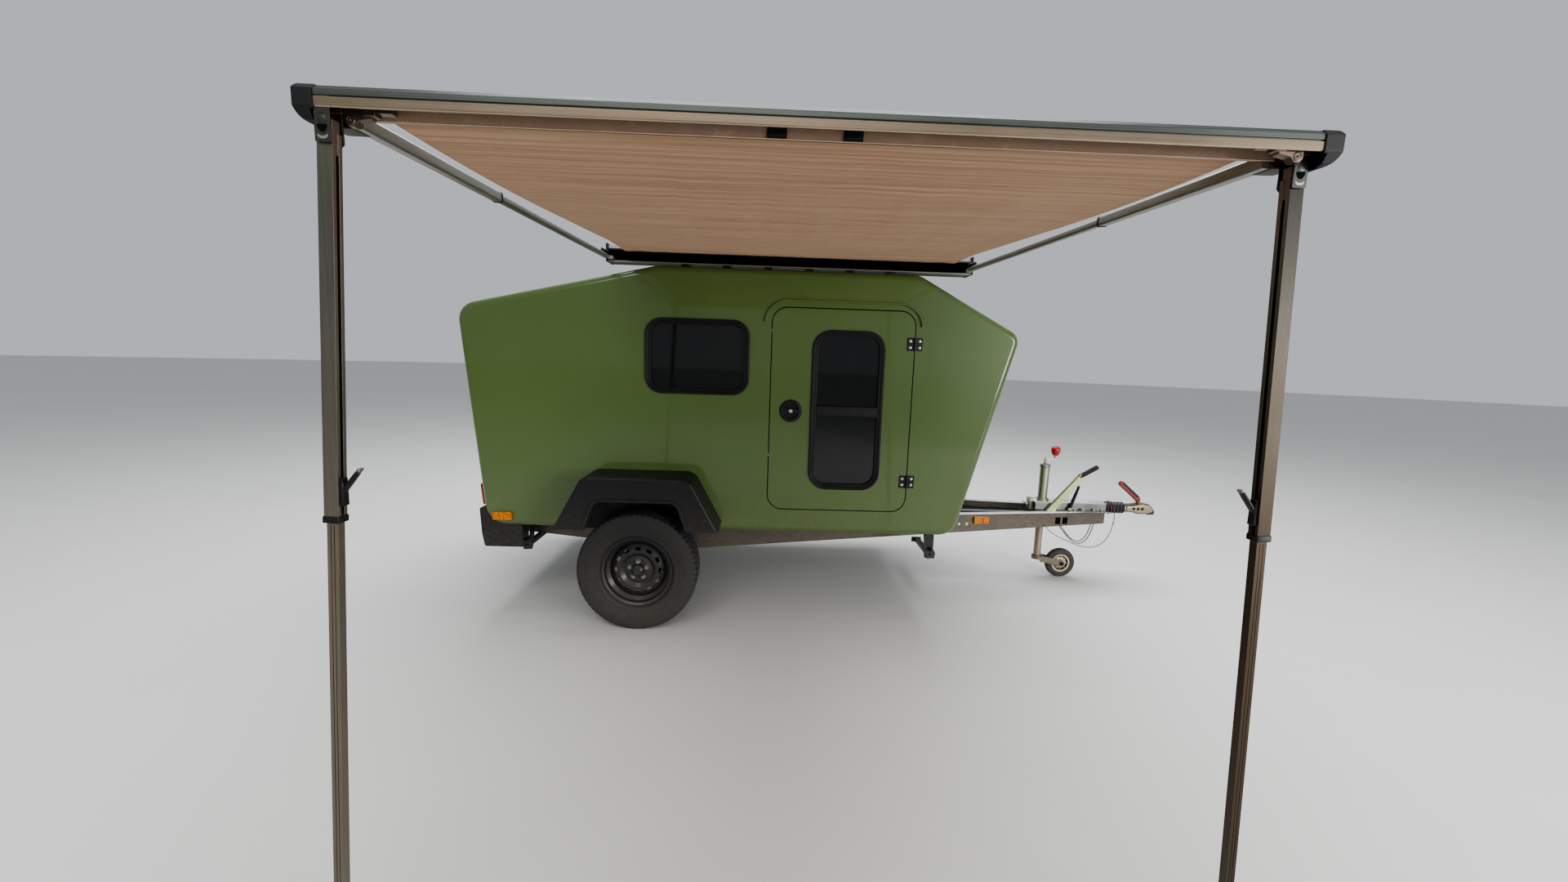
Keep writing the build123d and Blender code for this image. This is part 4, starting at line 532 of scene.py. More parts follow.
# Windows: a round-shouldered frame with fine grooves, and the bar across the door's window
BEAD = [(0, 0), (0, 5.5), (0.8, 8.2), (2.6, 10.0), (5.2, 10.6), (7.0, 10.4), (7.5, 9.4), (8.3, 9.4),
        (8.8, 10.2), (10.4, 10.0), (10.9, 9.0), (11.7, 9.0), (12.2, 9.6), (13.6, 9.0), (15.2, 7.6),
        (16.0, 4.2), (16.0, 0)]
LINER = [(16, 4), (16.4, 5.2), (19, 5.4), (19.5, 4.6), (20.3, 4.6), (20.8, 5.4), (23, 5.2), (23.5, 4.4),
         (24.3, 4.4), (24.8, 5.0), (28, 4.6), (30.3, 2.5), (31.0, -3), (31.0, -8.8), (29.5, -8.8),
         (29.5, 3.5)]
BAR = mirrored([(28.0, -8.8), (28.0, 3.0), (26.5, 5.4), (23.5, 6.6), (12, 7.2), (11, 6.4), (10, 7.2)])
side_beads = Shape()
for side, sign in SIDES:
    beads = Shape()
    for profile in (BEAD, LINER):
        wall_ring(beads, sign, *DOOR_WINDOW, profile)
        wall_ring(side_beads, sign, *SIDE_WINDOW, profile)
    x, height, width = DOOR_WINDOW[:3]
    reach = width / 2 - WINDOW_INSET
    beads.prism([at(x - reach, sign * (HALF_WIDTH + proud), height + rise) for rise, proud in BAR],
                Vector((2 * reach * MM, 0, 0)))
    beads.piece(f"door_window_bead_{side}", "black_moulding", body=f"door_{side}_leaf")
side_beads.piece("side_window_beads", "black_moulding")

# Door seals, seen in the gaps
DOOR_GAP = (-2209.5, 1166.5, 773, 1099, 88)
SEAL = [(0.5, -9), (0.5, -20), (4.4, -20), (4.4, -11), (3, -8.5)]
seals = Shape()
for side, sign in SIDES:
    wall_ring(seals, sign, *DOOR_GAP, SEAL)
seals.piece("door_seals", "black_rubber")

# Tail plane: points by across, height, and out of it
TAIL_UP = (TAIL_TOP - TAIL_FOOT).normalized()
TAIL_OUT = Vector((-TAIL_UP.z, 0, TAIL_UP.x))


def on_tail(across, height, out):
    point = TAIL_FOOT + TAIL_UP * ((height - TAIL_FOOT.z) / TAIL_UP.z) + TAIL_OUT * out
    return at(point.x, across, point.z)


# Hinge bolts, the latches' key cylinders with their slits, and a seal round each latch
KEY = [(10, -2), (10, 1.6), (9, 2.6)]
LATCH_SEAL = [(0, 0), (0, 2.5), (1.5, 4), (4, 4), (5.5, 2.5), (5.5, 0)]
body_bolts = Shape()
for side, sign in SIDES:
    leaf_bolts = Shape()
    face_y = sign * (HALF_WIDTH + 3)
    for height in DOOR_HINGE_HEIGHTS:
        for rise in (-17, 17):
            for shape, shift in ((leaf_bolts, -25), (body_bolts, 25)):
                dome_bolt(shape, at(DOOR_HINGE_X + shift, face_y, height + rise), (0, sign, 0))
    centre = at(LATCH_X, sign * (HALF_WIDTH + 9), LATCH_HEIGHT)
    leaf_bolts.lathe(centre, (0, sign, 0), KEY + [(7.6, 2.8), (7.2, 2.2), (0, 2.2)], 28)
    leaf_bolts.piece(f"door_bolts_{side}", "black_fittings", steel_bolts, body=f"door_{side}_leaf")
    seal = Shape()
    low_y, high_y = sorted((0, sign * 0.0026))
    seal.box(centre + Vector((-0.0008, low_y, -0.005)), centre + Vector((0.0008, high_y, 0.005)))
    wall_ring(seal, sign, LATCH_X, LATCH_HEIGHT, 122, 122, 61, LATCH_SEAL)
    seal.piece(f"latch_seal_{side}", "black_rubber", body=f"door_{side}_leaf")
hatch_bolts = Shape()
for across in (-397, -363, 363, 397):
    dome_bolt(hatch_bolts, on_tail(across, HATCH_HINGE_HEIGHT - 22, 3), TAIL_OUT)
    dome_bolt(body_bolts, on_tail(across, HATCH_HINGE_HEIGHT + 27, 3), TAIL_OUT)
hatch_bolts.lathe(on_tail(0, 809.5, 14), TAIL_OUT, KEY + [(0, 2.6)], 28)
hatch_bolts.piece("hatch_bolts", "black_fittings", steel_bolts, body="tail_hatch")

# Number plate's frame and screws, lamp bases
plate, bases = Shape(), Shape()
outer, inner = ([on_tail(a, PLATE_HEIGHT + r, 6.0) for a, r in rounded(*size, 4)]
                for size in ((520, 110, 8), (508, 98, 5)))
lift = TAIL_OUT * 0.0022
plate.rows([outer, [point + lift for point in outer], [point + lift for point in inner], inner])
plate.piece("number_plate_frame", "black_moulding")
for across in (-190, 190):
    dome_bolt(body_bolts, on_tail(across, PLATE_HEIGHT, 6), TAIL_OUT, 4)
for across in (-648, 648):
    bases.prism([on_tail(across + a, LAMP_HEIGHT + r, 0.2) for a, r in rounded(98, 128, 15, 4)],
                TAIL_OUT * 0.005)
bases.piece("tail_lamp_bases", "black_rubber")

# Drawbar rails: a raised square reflector in the front half of each marker, bolts, black backs of painted
# shade behind the rail windows, and a black conduit inside each rail, also standing in for the shade in the
# channel
RAIL_RUN = (RAIL_KNEE - RAIL_FRONT).normalized()
RAIL_OUT = Vector((-RAIL_RUN.y, RAIL_RUN.x, 0))


def on_rail(sign, along, height, out):
    """A point on a rail's outer face, by its distance back from the rail's front end."""
    point = RAIL_FRONT + RAIL_RUN * along + RAIL_OUT * out
    return at(point.x, -sign * point.y, height)


reflectors, window_shade_backs, conduit = Shape(), Shape(), Shape()
for side, sign in SIDES:
    out = Vector((RAIL_OUT.x, -sign * RAIL_OUT.y, 0))
    reflectors.prism([on_rail(sign, MARKER_ALONG + a, MARKER_HEIGHT + r, 13.5)
                      for a, r in ((-48, -18), (-8, -18), (-8, 18), (-48, 18))], out * 0.006)
    for along, height in ((1004, 420), (1057, 420), (1350, 452), (1980, 452), (2560, 452)):
        hex_bolt(body_bolts, on_rail(sign, along, height, 0), out, 13, 5)
    window_shade_backs.prism([on_rail(sign, along, height, -6)
                   for along, height in ((262, 402), (375, 402), (375, 456), (262, 456))], out * -0.002)
    conduit.tube([on_rail(sign, along, 426 - (along - 500) * 0.012 + 2.5 * math.sin(along * 0.031), -16)
                  for along in range(500, 1500, 25)], 0.009, 12)
reflectors.piece("rail_reflectors", "amber_lens", soft=0.0015)
window_shade_backs.piece("rail_window_shade", "black_steel", painted_shade_black)
conduit.piece("rail_conduit", "black_rubber", angle=60)
body_bolts.piece("body_bolts", "galvanised_steel", steel_bolts)

# Road wheels: tyres with a cut tread, wheel bolts and valves
WIDE, NARROW, SHALLOW = 1, 2, 3
HALF_TYRE = [
    # radius, distance outwards and the cuts there; SHALLOW takes the wide cuts at less depth
    (186.5, -73, 0), (189, -80, 0), (194, -86, 0), (203, -91.5, 0), (205, -91, 0), (218, -95.5, 0),
    (238, -97.4, 0), (246, -97.5, 0), (247, -96.6, 0), (251, -96.6, 0), (252, -97.3, 0), (268, -95.6, 0),
    (284, -92.4, 0), (292, -90, 0), (294, -88.5, SHALLOW), (302, -86, SHALLOW), (308, -81, SHALLOW),
    (311.6, -75, WIDE), (313.0, -66, WIDE), (313.6, -52.5, WIDE), (312.6, -51.6, 0), (307, -50.6, 0),
    (307, -45.4, 0), (312.8, -44.4, 0), (313.8, -43.6, NARROW), (313.9, -32, NARROW), (313.9, -20.4, NARROW),
    (312.9, -19.5, 0), (307, -18.6, 0), (307, -13.4, 0), (313, -12.4, 0), (314, -11.6, WIDE), (314, 0, WIDE),
]
TYRE = HALF_TYRE + [(radius, -out, cut) for radius, out, cut in reversed(HALF_TYRE[:-1])]
PITCHES, SIPE_DEPTH = 64, 4.5
PITCH_PARTS = ((0.0, 0), (0.36, 0), (0.38, NARROW), (0.50, NARROW), (0.52, 0), (0.80, 0), (0.82, WIDE),
               (0.96, WIDE))
for side, sign in SIDES:
    hub = at(AXLE_X, sign * WHEEL_Y, WHEEL_HEIGHT)
    tyre = Shape()
    rows = []
    for radius, out, cut in TYRE:
        ring = []
        for pitch in range(PITCHES):
            for part, sipe in PITCH_PARTS:
                angle = math.tau * (pitch + part) / PITCHES
                reach = radius
                if cut and sipe == (WIDE if cut == SHALLOW else cut):
                    reach -= SIPE_DEPTH * (0.55 if cut == SHALLOW else 1)
                ring.append(hub + Vector((math.cos(angle) * reach, sign * out, math.sin(angle) * reach)) * MM)
        rows.append(ring)
    tyre.rows(rows)
    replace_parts(tyre.piece(f"road_tyre_{side}", "black_tyre", body=f"wheel_{side}"), f"tyre_{side}")
    bolts = Shape()
    for turn in range(5):
        angle = math.tau * (turn + 0.25) / 5
        place = hub + Vector((45 * math.cos(angle), sign * 40, 45 * math.sin(angle))) * MM
        hex_bolt(bolts, place, (0, sign, 0), 17, 13)
    bolts.piece(f"wheel_bolts_{side}", "black_steel", finishes["galvanised_steel"], body=f"wheel_{side}")
    valve = Shape()
    valve.tube([hub + Vector((x, sign * y, 0))
                for x, y in ((0.150, 0.030), (0.140, 0.055), (0.136, 0.070))], 0.0045, 12)
    valve.piece(f"valve_{side}", "black_rubber", body=f"wheel_{side}")

# Black plates on the walls under the mudguards, making the wheel arches dark
ARCH = mirrored([(412, 488), (412, 549), (276, 792), (236, 812)])
arch_plates = Shape()
for side, sign in SIDES:
    arch_plates.plate([(AXLE_X + a, height) for a, height in ARCH], sign * (HALF_WIDTH - 0.5), sign * 3.5)
arch_plates.piece("arch_dark_plates", "black_moulding", soft=0.001)

# Bellows with round folds between its two end cuffs, and a clamp on each cuff
BELLOWS_BACK, BELLOWS_FRONT, FOLDS = -290, -132, 7
folds = []
for i in range(FOLDS * 10 + 1):
    turn = i / 10
    crest = 0.5 - 0.5 * math.cos(math.tau * turn)
    folds.append((31.2 + 8.6 * crest ** 0.75, BELLOWS_BACK + turn * (BELLOWS_FRONT - BELLOWS_BACK) / FOLDS))
bellows, clamps = Shape(), Shape()
bellows.lathe(at(0, 0, COUPLING_HEIGHT), (1, 0, 0), [(25.4, BELLOWS_BACK), (30, BELLOWS_BACK)] + folds
              + [(30, BELLOWS_FRONT), (25.4, BELLOWS_FRONT)], 56)
for x in (BELLOWS_BACK + 3, BELLOWS_FRONT - 3):
    clamps.lathe(at(x, 0, COUPLING_HEIGHT), (1, 0, 0), [(33.6, -3.5), (34.4, -3), (34.4, 3), (33.6, 3.5)], 48)
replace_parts(bellows.piece("bellows_folds", "black_rubber", angle=60), "bellows")
clamps.piece("bellows_clamps", "galvanised_steel", steel_bolts)

# Coupling: red release handle with dark strips of painted shade on its sides and a pale rim that is a painted
# highlight, black toe cap, brown bolts
HANDLE = ((-30, 534), (-40, 541), (-60, 560), (-172, 654), (-181, 664), (-172, 681), (-160, 688), (-34, 583),
          (-22, 566))
handle, edges, rim, lip, coupling_bolts = (Shape() for _ in range(5))
handle.plate(HANDLE, -15, 30)
# Dark strips on both sides of the handle: painted shade
for y in (-17.5, 14.5):
    edges.plate(((-154, 679), (-161, 671), (-48, 576), (-41, 584)), y, 3)
# A pale strip along the handle's upper side: a painted highlight
rim.plate(((-153.1, 683.8), (-37.9, 587.8), (-39.9, 585.5), (-155.1, 681.5)), -16.5, 33)
lip.plate(((16, 461.8), (66.8, 461.8), (71.2, 480), (66.4, 495), (28, 480)), -34.6, 69.2)
for x in (-76, -46, -17):
    for sign in (-1, 1):
        hex_bolt(coupling_bolts, at(x, sign * 33.5, 501), (0, sign, 0), 13, 6, 3)
handle.piece("coupling_handle", "galvanised_steel", handle_red, soft=0.005)
edges.piece("coupling_handle_shade_strips", "black_fittings", soft=0.001)
rim.piece("coupling_handle_highlight_rim", "galvanised_steel", finishes["cream_rim"])
lip.piece("coupling_lip", "black_rubber", soft=0.006)
coupling_bolts.piece("coupling_bolts", "galvanised_steel", brown_plastic)

# Bolts of the housing, the lever's pivot, the steadies and the axle, and the steadies' spindles
SPINDLE_HEIGHT = 372
fixings, spindles = Shape(), Shape()
hex_bolt(fixings, at(-694, -96, 470), (0, -1, 0), 17, 8, 3)
for sign in (-1, 1):
    outward = (0, sign, 0)
    for x in (-520, -460, -380, -320):
        rail_y = RAIL_FRONT.y + (x - RAIL_FRONT.x) * RAIL_RUN.y / RAIL_RUN.x
        hex_bolt(fixings, at(x, sign * (-rail_y - 14), 493), (0, 0, 1), 17, 8, 4)
    for x in (-1632, -3960):
        fixings.lathe(at(x, sign * 600, SPINDLE_HEIGHT), outward, [(7, -60), (7, 30), (0, 30)], 20)
        hex_bolt(spindles, at(x, sign * 618, SPINDLE_HEIGHT), outward, 16, 14)
        for end in (-1, 1):
            hex_bolt(fixings, at(x + end * 19, sign * 580, 335), (end, 0, 0), 17, 6)
    for x in (-3162, -3092):
        for height in (340, 450):
            hex_bolt(fixings, at(x, sign * 507, height), outward, 19, 9, 4)
fixings.piece("chassis_fixings", "galvanised_steel", steel_bolts)
spindles.piece("steady_spindle_ends", "black_fittings")

# Handbrake: ribbed dark grip with a red line, black strut up to the lever
TOP, TIP = Vector((-484, LEVER_Y, 733)), Vector((-386, LEVER_Y, 792))
GRIP_WAY = (TIP - TOP).normalized()
GRIP_SIDE = Vector((-GRIP_WAY.z, 0, GRIP_WAY.x))
GRIP_LENGTH, GRIP_ROWS = (TIP - TOP).length + 20, 44


def on_grip(along, across, rise):
    return at(*(TOP + GRIP_WAY * along + GRIP_SIDE * rise + Vector((0, across, 0))))


grip, line, strut = Shape(), Shape(), Shape()
rows = []
for i in range(GRIP_ROWS + 1):
    swell = 1.11 if 5 < i < 40 and i % 3 == 0 else 1.06
    if i in (0, GRIP_ROWS):
        swell = 0.9
    rows.append([on_grip(GRIP_LENGTH * i / GRIP_ROWS - 18.5, across * swell, rise * swell)
                 for across, rise in rounded(28, 26, 10, 5)])
grip.rows(rows, caps=True)
line.rows([[on_grip(along, across, rise) for across, rise in rounded(30, 28, 10, 5)] for along in (-24, -19)],
          caps=True)
strut_low, strut_high = at(-548, LEVER_Y, 500), at(-500, LEVER_Y, 650)
strut.lathe(strut_low, strut_high - strut_low,
            [(8.4, 6), (10.5, 8), (10.5, 118), (8.6, 120), (8.6, 160), (0, 160)], 28)
strut.plate(((-502.5, 640.5), (-491.3, 654.5), (-520.6, 675.5), (-529.4, 664.5)), LEVER_Y - 7, 14)
grip.piece("handbrake_grip", "black_rubber", maroon_rubber, angle=30)
line.piece("handbrake_red_line", "red_cable", red_plastic, soft=0.0008)
strut.piece("handbrake_strut", "black_fittings")

# Jockey wheel: red knob, the tube's cap and foot ring, clamp screw, and the rim's ribs, dark rings and axle
# nuts; the outer dark ring is painted shade on the rim's step
KNOB = [(0, -1), (17, -0.6), (21, 3), (25, 12), (29.2, 26), (30.2, 36), (28.5, 47), (24, 55), (17, 60.5),
        (9, 62.8), (0, 63.2)]
TUBE_CAP = [(33, 0), (33.6, 1), (33.6, 16), (32, 18.5), (12, 20), (11, 26), (9, 27)]
knob, tube, clamp, ribs, rings, nuts = (Shape() for _ in range(6))
knob.lathe(at(-640, 0, 852), (0, 0, 1), KNOB, 40)
tube.lathe(at(JOCKEY_X, 0, 770), (0, 0, 1), TUBE_CAP, 48)
tube.lathe(at(JOCKEY_X, 0, 385), (0, 0, 1), [(31, -0.4), (31.4, 1), (31.4, 9), (30, 10)], 48)
clamp.tube([at(-795, 0, 520), at(-822, 0, 520)], 0.006)
clamp.tube([at(-820, -34, 520), at(-820, 34, 520)], 0.0045)
jockey_hub = at(JOCKEY_WHEEL_X, 0, JOCKEY_WHEEL_HEIGHT)
RIBS, RIB_HALF = 8, 0.0018
for sign in (-1, 1):
    for turn in range(RIBS):
        angle = math.tau * turn / RIBS
        way = Vector((math.cos(angle), 0, math.sin(angle)))
        side_way = Vector((-way.z, 0, way.x)) * RIB_HALF
        ribs.prism([jockey_hub + way * 0.019 + side_way * half + Vector((0, sign * y, 0))
                    for half, y in ((-1, 0.0075), (1, 0.0075), (1, 0.0155), (-1, 0.0155))], way * 0.031)
    # Dark ring on the rim's step: painted shade
    rings.lathe(jockey_hub, (0, sign, 0), [(41, 8.0), (41.5, 9.2), (50.5, 18.3), (51.5, 17.9)], 64)
    rings.lathe(jockey_hub, (0, sign, 0), [(18, 20), (21, 14.6), (24, 12.6), (24, 11)], 48)
    hex_bolt(nuts, at(JOCKEY_WHEEL_X, sign * 39, JOCKEY_WHEEL_HEIGHT), (0, sign, 0), 17, 9, 3)
knob.piece("jockey_knob", "red_cable", red_plastic, angle=60)
tube.piece("jockey_tube_cap", "galvanised_steel")
clamp.piece("jockey_clamp_screw", "galvanised_steel", steel_bolts)
ribs.piece("jockey_rim_ribs", "cream_rim", body="jockey_wheel", soft=0.0006)
rings.piece("jockey_rim_rings", "cream_rim", brown_plastic, body="jockey_wheel")
nuts.piece("jockey_axle_nuts", "galvanised_steel", brown_plastic, body="jockey_swivel")

# Hanging cables: the same points as their solids, in metres, as control points of one open curve


def hang(name, points, radius, slot, node, **how):
    curve = bpy.data.curves.new(name, "CURVE")
    curve.dimensions = "3D"
    curve.bevel_depth = radius
    curve.bevel_resolution = 4
    curve.resolution_u = 8
    curve.use_fill_caps = True
    line = curve.splines.new("NURBS")
    line.points.add(len(points) - 1)
    for point, place in zip(line.points, points):
        point.co = (*place, 1)
    line.order_u = 3
    line.use_endpoint_u = True
    curve.materials.append(finishes[slot].material)
    made = linked(name, curve)
    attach(made, "trailer")
    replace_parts(made, node)


LOWER = (
    (-0.633, -0.066, -0.010), (-0.633, -0.066, -0.040), (-0.620, -0.066, -0.076),
    (-0.595, -0.064, -0.109), (-0.562, -0.062, -0.146), (-0.526, -0.059, -0.185),
    (-0.482, -0.055, -0.221), (-0.434, -0.051, -0.229), (-0.391, -0.047, -0.200),
    (-0.365, -0.044, -0.147), (-0.351, -0.043, -0.092), (-0.346, -0.043, -0.042),
    (-0.346, -0.043, -0.010),
)
UPPER = (
    (-0.621, -0.057, -0.010), (-0.621, -0.057, -0.039), (-0.609, -0.057, -0.073),
    (-0.586, -0.055, -0.103), (-0.556, -0.053, -0.138), (-0.522, -0.050, -0.177),
    (-0.482, -0.046, -0.208), (-0.437, -0.042, -0.215), (-0.400, -0.038, -0.188),
    (-0.377, -0.035, -0.140), (-0.363, -0.034, -0.089), (-0.358, -0.034, -0.042),
    (-0.358, -0.034, -0.010),
)
BREAKAWAY = (
    (-0.704, -0.079, -0.040), (-0.704, -0.079, -0.071), (-0.700, -0.085, -0.104),
    (-0.672, -0.092, -0.137), (-0.624, -0.095, -0.165), (-0.568, -0.095, -0.190),
    (-0.508, -0.095, -0.215), (-0.448, -0.094, -0.234), (-0.390, -0.094, -0.242),
    (-0.334, -0.094, -0.228), (-0.290, -0.093, -0.193), (-0.259, -0.088, -0.144),
    (-0.239, -0.077, -0.094), (-0.222, -0.062, -0.052), (-0.220, -0.052, -0.018),
)
WINDING_RADIUS, WINDING_PITCH, WINDING_START, WINDING_MIDDLE, STEP = 0.045, 0.018, -0.222, 0.020, 30
turns = []
for place in range(17):
    angle = math.radians(STEP * place)
    turns.append((WINDING_START - WINDING_PITCH * STEP * place / 360, -WINDING_RADIUS * math.cos(angle),
                  WINDING_MIDDLE + WINDING_RADIUS * math.sin(angle)))
hang("cable_lower", LOWER, 0.003, "black_rubber", "hanging_cable_lower", length=0.563, far_end="fitting",
     with_pieces=["cable_clips"])
hang("cable_upper", UPPER, 0.003, "black_rubber", "hanging_cable_upper", length=0.524, far_end="object")
hang("cable_breakaway", BREAKAWAY + tuple(turns), 0.0025, "red_cable", "breakaway_cable", length=1.123,
     far_end="bare", with_pieces=["breakaway_ferrule"])

# Awning cloth: stretched between the cassette's mouth and the lead rail, sagging a little
CLOTH_LINE = [(-665, 1975.7), (-1395, 1940), (-2055, 1900), (-2684.5, 1888)]
CLOTH_HALF, COLUMNS, ROWS = 868, 124, 150


def cloth_height(y):
    """Smooth line through the cloth's four heights."""
    return sum(height * math.prod((y - other) / (here - other) for other, _ in CLOTH_LINE if other != here)
               for here, height in CLOTH_LINE)


cloth_sheet = Shape()
rows = []
for r in range(ROWS + 1):
    down = r / ROWS
    y = CLOTH_LINE[0][0] + (CLOTH_LINE[-1][0] - CLOTH_LINE[0][0]) * down
    free = math.sin(math.pi * down)
    row = []
    for c in range(COLUMNS + 1):
        aside = 2 * c / COLUMNS - 1
        edge = abs(aside)
        ripple = 1.3 * math.sin(aside * 19 + 2.0 * down) + 0.8 * math.sin(aside * 43 - 3 * down + 1)
        crease = 3.0 * math.exp(-((1 - edge) * 6 + down * 5)) * math.sin((edge - down * 0.5) * 40)
        drop = free * (4.0 * (1 - edge ** 6) + ripple) + crease
        x = AWNING_X + CLOTH_HALF * aside * (1 - 0.006 * free * edge)
        row.append(at(x, y, cloth_height(y) - 1.0 - (drop if 0 < r < ROWS else 0)))
    rows.append(row)
cloth_sheet.rows(rows, wrap=False)
sheet = cloth_sheet.piece("awning_cloth", "awning_canvas", angle=80)
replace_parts(sheet, "awning_fabric")

# Cassette: roller in its mouth, in flat black that paints the shade inside the mouth, and a light lower lip
ROLLER_HALF, LIP_HALF = 940, 958
roller, lip = Shape(), Shape()
roller.lathe(at(AWNING_X - ROLLER_HALF, -622, 1956), (1, 0, 0),
             [(0, 0), (27, 0), (27, 2 * ROLLER_HALF), (0, 2 * ROLLER_HALF)], 48)
for inner_y, top in ((-660, 1918.4), (-694.8, 1922)):
    lip.box(at(AWNING_X - LIP_HALF, -698, 1917), at(AWNING_X + LIP_HALF, inner_y, top))
roller.piece("awning_roller", "black_moulding", painted_shade_black)
lip.piece("cassette_lip", "anodised_aluminium", aluminium_across, soft=0.0005)

# Lead rail: brown wall with a bright lower edge, black stops, and a casting with its screws beside each leg
WALL_HALF = 886
CASTING = ((0, 1886), (0, 1850), (6, 1843), (16, 1843), (24, 1852), (46, 1857), (52, 1864), (52, 1886))
CASTING_HOLE = [(8, 0), (8, 4), (6, 4.6), (6, 3.8), (0, 3.8)]
wall, edge, stops, castings, casting_screws = (Shape() for _ in range(5))
wall.box(at(AWNING_X - WALL_HALF, -2690.2, 1862.6), at(AWNING_X + WALL_HALF, -2689.1, 1885.8))
edge.box(at(AWNING_X - WALL_HALF, -2691.0, 1862.2), at(AWNING_X + WALL_HALF, -2689.1, 1863.4))
for x in (-2598, -2450):
    stops.box(at(x - 19, -2694, 1863.5), at(x + 19, -2689.8, 1885.5))
    stops.box(at(x - 16, -2697, 1868), at(x + 16, -2693, 1882))
for end, front_y in ((-1, -2720), (1, -2746)):
    inner = AWNING_X + end * (LEG_REACH - 17)
    castings.plate([(inner - end * along, height) for along, height in CASTING], front_y, 18)
    for near, far, low, proud in ((36, 58, 1861, 4), (60, 88, 1866, 2)):
        from_x, to_x = sorted((inner - end * near, inner - end * far))
        castings.box(at(from_x, front_y - proud, low), at(to_x, front_y + 16, 1886))
    castings.lathe(at(inner - end * 11, front_y + 3, 1853), (0, -1, 0), CASTING_HOLE, 24)
    dome_bolt(casting_screws, at(inner - end * 11, front_y + 1.2, 1853), (0, -1, 0), 2.4)
    dome_bolt(casting_screws, at(inner - end * 47, front_y - 3.6, 1874), (0, -1, 0), 2.2)
wall.piece("rail_wall", "anodised_aluminium", rail_brown)
edge.piece("rail_wall_edge", "anodised_aluminium", rail_edge)
stops.piece("rail_stops", "black_moulding", soft=0.0008)
castings.piece("rail_castings", "anodised_aluminium", brown_cast, soft=0.0012)
casting_screws.piece("rail_casting_screws", "anodised_aluminium", brown_cast)

# Rafters: brown blocks under the rail, thin collars at the change, black arms above the cassette ends
BLOCK = (
    # distance in metres, then width, height, corner, rise and shift in millimetres
    (-0.006, 46, 12, 3, -9, 26), (0, 50, 14, 4, -9, 26), (0.042, 46, 13, 4, -9, 24), (0.050, 40, 9, 3, -9, 22),
)
COLLAR = ((-0.004, 29.5, 29.5, 6), (-0.003, 31, 31, 7), (0.004, 31, 31, 7), (0.006, 27, 25, 6))
ARM = ((-0.108, 12, 8, 2, 21, -4), (-0.100, 15, 12, 3, 21, -4), (-0.060, 15, 13, 3, 20, -4),
       (-0.055, 20, 17, 4, 20, -4), (0.012, 20, 17, 4, 20, -4))
blocks, collars, arms = (Shape() for _ in range(3))
for end in (-1, 1):
    low = at(-2508 + end * 889, -2684.2, 1864)
    high = at(-2508 + end * 956, -703, 1941)
    way = (high - low).normalized()
    across = way.cross(Vector((0, 0, 1))).normalized()
    over = across.cross(way)
    length = (high - low).length

    def section(distance, width, tall, corner, rise=0.0, shift=0.0):
        middle = low + way * distance + over * rise * MM + across * end * shift * MM
        return [middle + (across * a + over * b) * MM for a, b in rounded(width, tall, corner, 4)]

    for shape, start, places in ((blocks, 0, BLOCK), (collars, length * 0.32, COLLAR), (arms, length, ARM)):
        shape.rows([section(start + distance, *form) for distance, *form in places], caps=True)
    cross_pin, post = low + way * (length - 0.062) + over * 0.021, low + way * (length - 0.090)
    arms.tube([cross_pin - across * 0.015, cross_pin + across * 0.015], 0.0045, 12)
    arms.tube([post + over * 0.014, post + over * 0.031], 0.004, 12)
blocks.piece("rafter_blocks", "black_moulding", brown_plastic, soft=0.001)
collars.piece("rafter_collars", "black_moulding", soft=0.0006)
arms.piece("rafter_arms", "black_moulding", soft=0.001)

